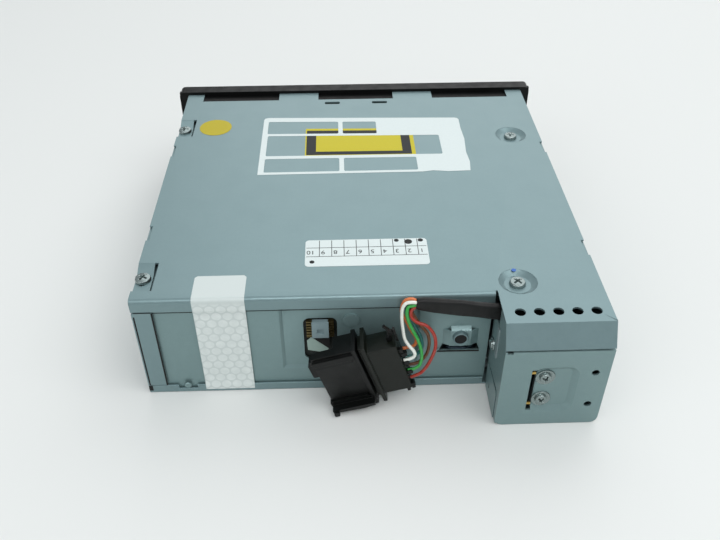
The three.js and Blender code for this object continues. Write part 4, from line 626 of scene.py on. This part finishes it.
def sleeve_section(share):
    """The sleeve's flattened outline, swelling a little where the wires bunch and gathered at its mouth."""
    steps = 20
    across = 3.5 * (1 + 0.03 * math.sin(share * 23))
    for first, last, half in ((0.6, 0.78, 3.2), (0.78, 0.9, 2.75), (0.9, 0.97, 2.3), (0.97, 1.0, 1.9)):
        across += (half - across) * min(1.0, max(0.0, (share - first) / (last - first)))
    through = 1.6 * (1 + 0.05 * math.sin(share * 17 + 1))
    ring = []
    for k in range(steps):
        turn = 2 * math.pi * k / steps
        side, rise = math.cos(turn), math.sin(turn)
        wide = across * math.copysign(abs(side) ** 0.62, side)
        deep = through * math.copysign(abs(rise) ** 0.75, rise)
        ring.append((deep, wide))
    return ring


plug = soften("harness_plug", 0.3, "black", 2, slot="black_plastic")
socket = soften("harness_socket", 0.3, "green_bounce_black", 2, slot="black_plastic")

sleeve_line = smooth_line([row(*p) for p in sleeve_route], SLEEVE_STEPS)
sleeve = tube("lead_sleeve_shown", sleeve_line, sleeve_section, "rubber")
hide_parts("lead_sleeve")
# Each wire starts at the sleeve's mouth, where the spread of their first points is drawn together
mouth, spread, gather = row(-18.6, 84.05, 48.75), row(-16.5, 84.25, 48.8), 0.4
for wire_name, route in wire_routes.items():
    points = [row(*p) for p in route]
    line = smooth_line([mouth + (points[0] - spread) * gather, *points], WIRE_STEPS)
    wire = wire_curve(wire_name + "_shown", line, WIRE_RADIUS, wire_name)
    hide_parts(wire_name)

# Case nodes with softened edges
soften("top_cover", 0.28, "steel", slot="galvanised_steel")
soften("bottom_cover", 0.22, "steel", slot="galvanised_steel")
soften("side_plate_right", 0.18, "steel", slot="galvanised_steel")
soften("side_plate_left", 0.18, "steel", slot="galvanised_steel")
soften("rear_panel", 0.2, "rear", angle=28, smooth=28, slot="galvanised_steel")
soften("rear_box", 0.22, "rear", slot="galvanised_steel")
soften("front_bezel", 0.35, "bezel", 3, slot="bezel_plastic")

node_looks = {
    "mechanism_deck": "zinc", "cam_motor": "zinc", "roller_bracket": "zinc", "roller_shaft": "zinc",
    "loading_motor": "zinc", "playback_arm": "zinc", "guide_shaft": "zinc", "sled_motor": "zinc",
    "spindle_motor": "zinc", "clamp_arm": "zinc", "shift_plate": "zinc",
    "front_board": "board", "main_board": "board", "rear_board": "dark_board",
    "upper_disc_guide": "black", "turntable": "black", "clamper": "black", "pickup_sled": "black",
    "roller_sleeve_left": "rubber", "roller_sleeve_right": "rubber",
    "idler_gear": "white_plastic", "roller_gear": "white_plastic", "service_connector": "grey_plastic",
    "loading_pinion": "brass", "cam_pinion": "brass", "lead_screw": "brass",
}
for index in range(6):
    node_looks[f"disc_tray_{index + 1}"] = "black"
for corner in ("front_left", "front_right", "rear_left", "rear_right"):
    node_looks["cam_screw_" + corner] = "zinc"
for node_name, look_name in node_looks.items():
    obj = frame["nodes"][node_name]
    obj.data.materials.clear()
    obj.data.materials.append(looks[look_name])
    obj.data.set_sharp_from_angle(angle=math.radians(35))
for index in range(6):
    soften(f"disc_button_{index + 1}", 0.3, "button", 3, slot="button_plastic")
for button in ("load_button", "eject_button"):
    soften(button, 0.3, "button", 3, slot="button_plastic")

TOP = 50.0
# On the top face a drawing's first axis runs with the photograph's x, so it points along -X
TOP_AXES = (MINUS_X, MINUS_Y, Z_AXIS)
TOP_ORIGIN = at(0, 0, TOP + 0.02)
REAR_AXES = (MINUS_X, Z_AXIS, Y_AXIS)
STICKER = 0.08
SKIN = 0.03

# Stickers on the top
label_cells = [
    rounded(45, 80.3, 123, 135, 0.8),
    rounded(82.5, 99.4, 123, 135, 0.8),
    rounded(45.3, 130, 102.5, 121, 0.8),
    rounded(45.2, 80.4, 88.5, 100, 0.8),
    rounded(82.6, 117, 88.5, 100, 0.8),
]
torn_outline = [
    (142, 137), (141.4, 138.4), (140, 139), (44.5, 139), (43.1, 138.4), (42.5, 137), (42.5, 86.7),
    (119, 86.7), (124, 87.6), (131, 86.6), (141.2, 86.9), (142, 95), (141.4, 104), (142.3, 117), (141.8, 128),
]


def stuck(outline):
    """The grid label and its panel sit a little askew, more so at their far edge."""
    near, run, left = 92, 43, 42.5
    return [(x, y + (y - near) / run * (1.8 - (x - left) * 0.028)) for x, y in outline]


cells = [stuck(cell) for cell in label_cells]
plate("grid_label", stuck(torn_outline), TOP_ORIGIN, TOP_AXES, STICKER, "label", cells)
plate("yellow_panel", stuck(rounded(64, 117.3, 101, 128, 0.6)), TOP_ORIGIN, TOP_AXES, 0.05, "yellow")
panel_bars = {
    "panel_bar_left": ((64.6, 69.3, 103, 126), 0.07),
    "panel_bar_right": ((111, 115.4, 103, 126), 0.07),
    "panel_bar_near": ((66, 113.6, 103, 106), 0.075),
    "panel_bar_far": ((66, 113.6, 122, 126), 0.075),
}
for name, (sides, thickness) in panel_bars.items():
    plate(name, stuck(rounded(*sides, 0.3)), TOP_ORIGIN, TOP_AXES, thickness, "ink")
plate("round_label", circle(18.5, 132, 8, 48), TOP_ORIGIN, TOP_AXES, STICKER, "round")

CHECK_PITCH = 4.99
plate("check_label", rounded(65.8, 115.4, 18.3, 35.5, 1.6), TOP_ORIGIN, TOP_AXES, STICKER, "label")
LABEL_TOP = at(0, 0, TOP + 0.1)
for index, y in enumerate((24.6, 30.3)):
    bar = rounded(66.2, 115, y - 0.14, y + 0.14, 0.1, 2)
    plate(f"check_row_{index}", bar, LABEL_TOP, TOP_AXES, 0.02, "ink")
for index in range(9):
    x = 71.5 + CHECK_PITCH * index
    line_shape = rounded(x - 0.13, x + 0.13, 24.6, 35.2, 0.1, 2)
    plate(f"check_column_{index}", line_shape, LABEL_TOP, TOP_AXES, 0.02, "ink")


def legend(name, figure, place, size, right, up, look, body=CASE):
    """A plain figure lying on a surface."""
    data = bpy.data.curves.new(name, "FONT")
    data.body = figure
    data.size = size * MM
    data.align_x = "CENTER"
    data.align_y = "CENTER"
    data.extrude = 0.015 * MM
    temporary = add_object(name + "_text", data)
    mesh = evaluated_mesh(temporary)
    bpy.data.objects.remove(temporary)
    out = right.cross(up)
    turn = Matrix((right, up, out)).transposed().to_4x4()
    mesh.transform(Matrix.Translation(place) @ turn)
    mesh.materials.clear()
    mesh.materials.append(looks[look])
    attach(add_object(name, mesh), body)


for index in range(10):
    place = at(112.9 - CHECK_PITCH * index, 27.4, TOP + 0.12)
    legend(f"check_digit_{index + 1}", str(index + 1), place, 3.4, X_AXIS, Y_AXIS, "ink")
pen_dots = [(112.9, 34.2, 1.1), (107.8, 33.3, 1.6), (103, 34.3, 1.0), (68.6, 21.2, 1.0)]
for index, (x, y, radius) in enumerate(pen_dots):
    plate(f"pen_dot_{index}", circle(x, y, radius, 20), LABEL_TOP, TOP_AXES, SKIN, "ink")


def seal():
    """The tamper seal, from the top over the fold and down the back."""
    left, right = 23.4, 43.4
    corner_cut = 1.0
    fold = 1.6
    profile = [(14.0 - i, TOP + 0.06) for i in range(13)]
    for i in range(9):
        angle = math.radians(90 * i / 8)
        profile.append((fold - (fold + 0.08) * math.sin(angle), TOP - fold + (fold + 0.06) * math.cos(angle)))
    profile += [(-0.08, z) for z in (47, 45.6, 44.6)]
    profile += [(-0.02, 44.0), (0.25, 43.4), (0.3, 41), (0.3, 30), (0.3, 20), (0.3, 10), (0.3, 5.4)]
    profile += [(0.0, 4.0), (-0.1, 3.4), (-0.1, 1.2)]
    lengths = [0.0]
    for a, b in zip(profile, profile[1:]):
        lengths.append(lengths[-1] + math.hypot(b[0] - a[0], b[1] - a[1]))
    columns = 9
    points, faces, uvs = [], [], []
    for k, (y, z) in enumerate(profile):
        for i in range(columns):
            share = i / (columns - 1)
            x = left + (right - left) * share
            if k == 0 and i in (0, columns - 1):
                x += corner_cut if i == 0 else -corner_cut
            points.append(at(x, y, z))
            uvs.append(((x - left) / 4.3, lengths[k] / 7.45))
    for k in range(len(profile) - 1):
        for i in range(columns - 1):
            a = k * columns + i
            faces.append((a, a + 1, a + columns + 1, a + columns))
    mesh = bpy.data.meshes.new("tamper_seal")
    mesh.from_pydata([tuple(p) for p in points], [], faces)
    layer = mesh.uv_layers.new(name="place")
    for loop in mesh.loops:
        layer.data[loop.index].uv = uvs[loop.vertex_index]
    mesh.materials.append(looks["seal"])
    obj = add_object("tamper_seal", mesh)
    solid = obj.modifiers.new("film", "SOLIDIFY")
    solid.thickness = 0.06 * MM
    solid.offset = 1.0
    made = evaluated_mesh(obj)
    obj.modifiers.clear()
    obj.data = made
    shade(made, 60)
    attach(obj, CASE)


seal()

# Screws of the case
screw("screw_lug_rear", at(2.9, 14.9, 48.1), Z_AXIS, 3.2, 1.7, turn=0.5)
screw("screw_lug_front", at(2.9, 132.1, 48.1), Z_AXIS, 3.2, 1.7, turn=0.2)
screw("screw_dimple_rear", at(148, 6.9, 48.5), Z_AXIS, 3.2, 1.7, turn=0.9)
screw("screw_dimple_front", at(165.8, 119.6, 48.5), Z_AXIS, 3.1, 1.7, turn=0.3)
box_depth, recess_depth = 21.9, 1.6
box_floor = -box_depth + recess_depth
screw("screw_box_high", at(156.3, box_floor, 25.3), Y_AXIS, 2.4, 1.7, washer=3.85, turn=0.4)
screw("screw_box_low", at(156.1, box_floor, 13.5), Y_AXIS, 2.4, 1.7, washer=3.85, turn=0.8)
screw("screw_box_side", at(139.2, -3.2, 26.5), X_AXIS, 1.9, 1.5, washer=2.7, turn=0.2)
collar = [(2.35, 0.6), (2.4, 2.05), (2.6, 2.2), (2.9, 2.15), (3.1, 1.8), (3.1, 0)]
lathe("collar_ring", collar, at(126.5, 0, 28.1), Y_AXIS, "steel", steps=48)
# A dark disc at the collar's end face: painted shade inside the bore
plate("collar_bore_shade", circle(126.5, 28.1, 2.45, 28), at(0, -1.93, 0), REAR_AXES, SKIN, "painted_shade")
REAR_ORIGIN = at(0, 0, 0)
foot_line = [(117.6, 19.4), (134.8, 19.3), (134.6, 20.2), (118, 20.3)]
plate("bridge_shade", foot_line, REAR_ORIGIN, REAR_AXES, SKIN, "painted_shade")
slot_outline = rounded(152.1, 152.9, 10.6, 29.6, 0.2)
plate("slot_shade", slot_outline, at(0, box_floor, 0), REAR_AXES, SKIN, "painted_shade")
# A chrome can behind the opening, its colour partly painted shade
dome = [(0.1, 1.9), (2.5, 1.8), (4.4, 1.4), (5.8, 0.8), (6.6, 0), (6.6, -0.4)]
lathe("bright_can", dome, row(-37.2, 77.3, 16.4), Y_AXIS, "chrome_painted_dark", steps=48)
# Painted shade: thin dark strips in the gaps under the lip and beside the flange, and in the flange notch
gap_shade_lines = {
    "fold_gap_left": (8.1, 23.3, 43.75, 44.1),
    "fold_gap_right": (43.5, 137.6, 43.75, 44.1),
    "flange_gap_inner": (7.5, 8.1, 4.1, 43.8),
    "flange_gap_outer": (0.5, 1.1, 4.2, 42),
    "flange_notch": (0.1, 1.7, 1.1, 3.9),
    "flange_gap_top": (1.1, 7.5, 43.75, 44.1),
}
for name, (x0, x1, z0, z1) in gap_shade_lines.items():
    plate(name, rounded(x0, x1, z0, z1, 0.12, 2), REAR_ORIGIN, REAR_AXES, SKIN, "painted_shade")
lip_boss = [(0.05, 0.5), (1.2, 0.5), (1.5, 0.2), (1.5, -0.1)]
lathe("lip_boss", lip_boss, at(16.2, 0, 3.9), Y_AXIS, "rear")
for name, z in (("slot_pin_high", 28.3), ("slot_pin_low", 11.5)):
    plate(name, rounded(150.6, 152.1, z, z + 1, 0.2), at(0, -21.2, 0), REAR_AXES, 0.5, "brass")

# Inner side of the rear box: its lower sheet with an angled edge, and a bright strip
WALL_AXES = (Y_AXIS, Z_AXIS, X_AXIS)
wall = row(-49.3, 0, 0)
lower_sheet = [(81.8, 0.6), (99, 0.6), (98.8, 13.4), (97.9, 14.8), (84.8, 13.9), (81.8, 13.7)]
plate("lower_sheet", lower_sheet, wall, WALL_AXES, 0.3, "rear")
# The seam along the lower sheet's edge and the slit are dark sheets: painted shade
seam = [(84.8, 13.9), (97.9, 14.8), (98.8, 13.4), (99, 0.6)]
seam += [(99.35, 0.6), (99.2, 13.6), (98.1, 15.2), (84.8, 14.3)]
plate("lower_seam", seam, wall, WALL_AXES, 0.02, "painted_shade")
plate("lower_slit", rounded(87.1, 87.8, 4.9, 7.5, 0.3), row(-49, 0, 0), WALL_AXES, 0.02, "painted_shade")
plate("side_strip", rounded(88.6, 91, 25.5, 40.4, 0.3), wall, WALL_AXES, 0.4, "zinc")

# Seen through the window: gold pins, a folded flat cable and a painted shadow over it
connector = frame["nodes"]["service_connector"]
connector.data.materials.append(looks["gold"])
connector_x, shroud_half = 18.6, 3.32
for polygon in connector.data.polygons:
    if abs((connector.matrix_world @ polygon.center).x - connector_x * MM) > shroud_half * MM:
        polygon.material_index = 1
ribbon = [(65.9, 25.4), (67.7, 27.4), (74.6, 21.4), (73.6, 18.6), (66.1, 20.4)]
plate("flat_cable", ribbon, row(90, 78.2, 0), REAR_AXES, 0.3, "flat_cable")
# A dark sheet over the cable: painted shadow
plate("cable_shadow", [(68.3, 27.2), (75, 27.9), (74.8, 21)], row(90, 78.6, 0), REAR_AXES, 0.2, "painted_shade")

# Small parts of the plug and the socket, in the plug's own directions
PLUG_AXES = (
    Vector((-0.95417, 0.02729, 0.29802)),
    Vector((0.29902, 0.04629, 0.95312)),
    Vector((0.01222, 0.99856, -0.05233)),
)
PLUG_PLACE = row(2.15, 88.4, 19.88)
plug_bits = {
    "ridge_high": (rounded(-16.6, -1.2, 9.9, 12, 0.3), 4, 1.5),
    "ridge_low": (rounded(-16.6, -1.2, -12, -9.9, 0.3), 4, 1.5),
    "foot_step": ([(-16.6, -12.2), (-16.6, -13.6), (-3.9, -14.3), (0.8, -13.7), (0.8, -12.2)], 4.7, 3.8),
    "foot_nib": (rounded(-16.3, -14.2, -14.8, -12.6, 0.6), 6.7, 2.8),
    "end_rib": (rounded(-18.5, -16, 5, 12.4, 0.8), 1.3, 3.2),
    "socket_nib_left": (rounded(14.2, 15.5, -14.2, -12, 0.3), 2.2, 2.2),
    "socket_nib_right": (rounded(16.3, 17.8, -13, -10.3, 0.4), 2.2, 2.4),
    "latch_bar": ([(13.8, 20.4), (14.5, 20.7), (15.9, 18), (15.2, 17.6)], 0, 1.2),
    "latch_stem": ([(17, 18.3), (17.7, 18.2), (17.7, 11.8), (16.9, 11.8)], 0, 1.2),
    "latch_base": (rounded(13.4, 15.4, 12.2, 14.8, 0.5), -0.6, 2),
    "exit_1": (rounded(16.3, 18.1, 6.8, 9, 0.4), 1.8, 1.6),
    "exit_2": (rounded(16.3, 19, 4.2, 6, 0.4), 1.2, 1.8),
    "exit_3": (rounded(16.3, 18.7, -0.4, 1.6, 0.4), 1.8, 1.6),
    "exit_4": (rounded(16.3, 18.7, -5.8, -4, 0.4), 1.6, 1.8),
}
for name, (outline, start, thickness) in plug_bits.items():
    plate(name, outline, PLUG_PLACE + PLUG_AXES[2] * (start * MM), PLUG_AXES, thickness, "black")
ring = circle(15.6, 16.6, 1.2, 20)
plate("latch_ring", ring, PLUG_PLACE, PLUG_AXES, 1.2, "black", [circle(15.6, 16.6, 0.55, 16)])
plate("blue_mark", circle(147.6, 13.5, 0.95, 16), TOP_ORIGIN, TOP_AXES, 0.02, "blue_ink")

# Front: figures and marks on the buttons
FRONT = -97.0
BUTTON_PITCH = 19
FRONT_AXES = (X_AXIS, Z_AXIS, MINUS_Y)
for index in range(6):
    place = row((index - 2.5) * BUTTON_PITCH, FRONT - 0.03, 13)
    button = f"disc_button_{index + 1}"
    legend(f"button_figure_{index + 1}", str(index + 1), place, 4.2, X_AXIS, Z_AXIS, "legend", button)
arrow_mark = [(-2.2, 0.2), (2.2, 0.2), (0, 2.6)]
bar_mark = [(-2.2, -1.4), (2.2, -1.4), (2.2, -0.6), (-2.2, -0.6)]
for name, x, flip in (("eject_button", 79, 1), ("load_button", -79, -1)):
    origin = row(x, FRONT - 0.005, 29.6)
    for mark, shape in (("_arrow", arrow_mark), ("_bar", bar_mark)):
        outline = [(a, b * flip) for a, b in shape]
        plate(name + mark, outline, origin, FRONT_AXES, SKIN, "legend", body=name)

# Floor and light
FLOOR_HALF = 3.0
FLOOR_DROP = 0.0002
floor_mesh = bpy.data.meshes.new("floor")
corners = [(x * FLOOR_HALF, y * FLOOR_HALF, 0) for x, y in ((-1, -1), (1, -1), (1, 1), (-1, 1))]
floor_mesh.from_pydata(corners, [], [(0, 1, 2, 3)])
floor_look = Look("floor", (222, 224, 222), 0.85)
floor_mesh.materials.append(floor_look.material)
floor = add_object("floor", floor_mesh)
floor.location.z = -FLOOR_DROP


def lamp(name, place, power, width):
    data = bpy.data.lights.new(name, "AREA")
    data.energy = power
    data.size = width
    aim(add_object(name, data), Vector(place), row(0, 0, 20))


lamp("key", (-0.7, 0.5, 1.3), 8.8, 1.2)
lamp("fill", (0.9, 0.9, 0.8), 3.2, 1.0)
lamp("rim", (0.05, 0.9, 1.05), 3.7, 0.35)
lamp("back", (-0.35, -1.1, 1.0), 12, 1.8)

world = bpy.data.worlds.new("world")
world.use_nodes = True
sky = world.node_tree
link = sky.links.new

# The light of the sky grows paler with height, and the camera sees an even grey
direction = sky.nodes.new("ShaderNodeTexCoord")
upward = sky.nodes.new("ShaderNodeSeparateXYZ")
height = sky.nodes.new("ShaderNodeMapRange")
height.inputs["From Min"].default_value = 0.05
height.inputs["From Max"].default_value = 0.9
gradient = sky.nodes.new("ShaderNodeMix")
gradient.data_type = "RGBA"
gradient.inputs[MIX_FIRST].default_value = (0.7, 0.74, 0.76, 1)
gradient.inputs[MIX_SECOND].default_value = (0.98, 1.03, 1.07, 1)
backdrop = sky.nodes["Background"]
backdrop.inputs["Strength"].default_value = 0.5
seen = sky.nodes.new("ShaderNodeBackground")
seen.inputs["Color"].default_value = (0.68, 0.7, 0.69, 1)
ray = sky.nodes.new("ShaderNodeLightPath")
choice = sky.nodes.new("ShaderNodeMixShader")
link(direction.outputs["Generated"], upward.inputs[0])
link(upward.outputs["Z"], height.inputs["Value"])
link(height.outputs[0], gradient.inputs[MIX_SHARE])
link(gradient.outputs[MIX_RESULT], backdrop.inputs["Color"])
link(ray.outputs["Is Camera Ray"], choice.inputs[0])
link(backdrop.outputs[0], choice.inputs[1])
link(seen.outputs[0], choice.inputs[2])
link(choice.outputs[0], sky.nodes["World Output"].inputs["Surface"])
bpy.context.scene.world = world
bpy.context.scene.view_settings.view_transform = "Standard"
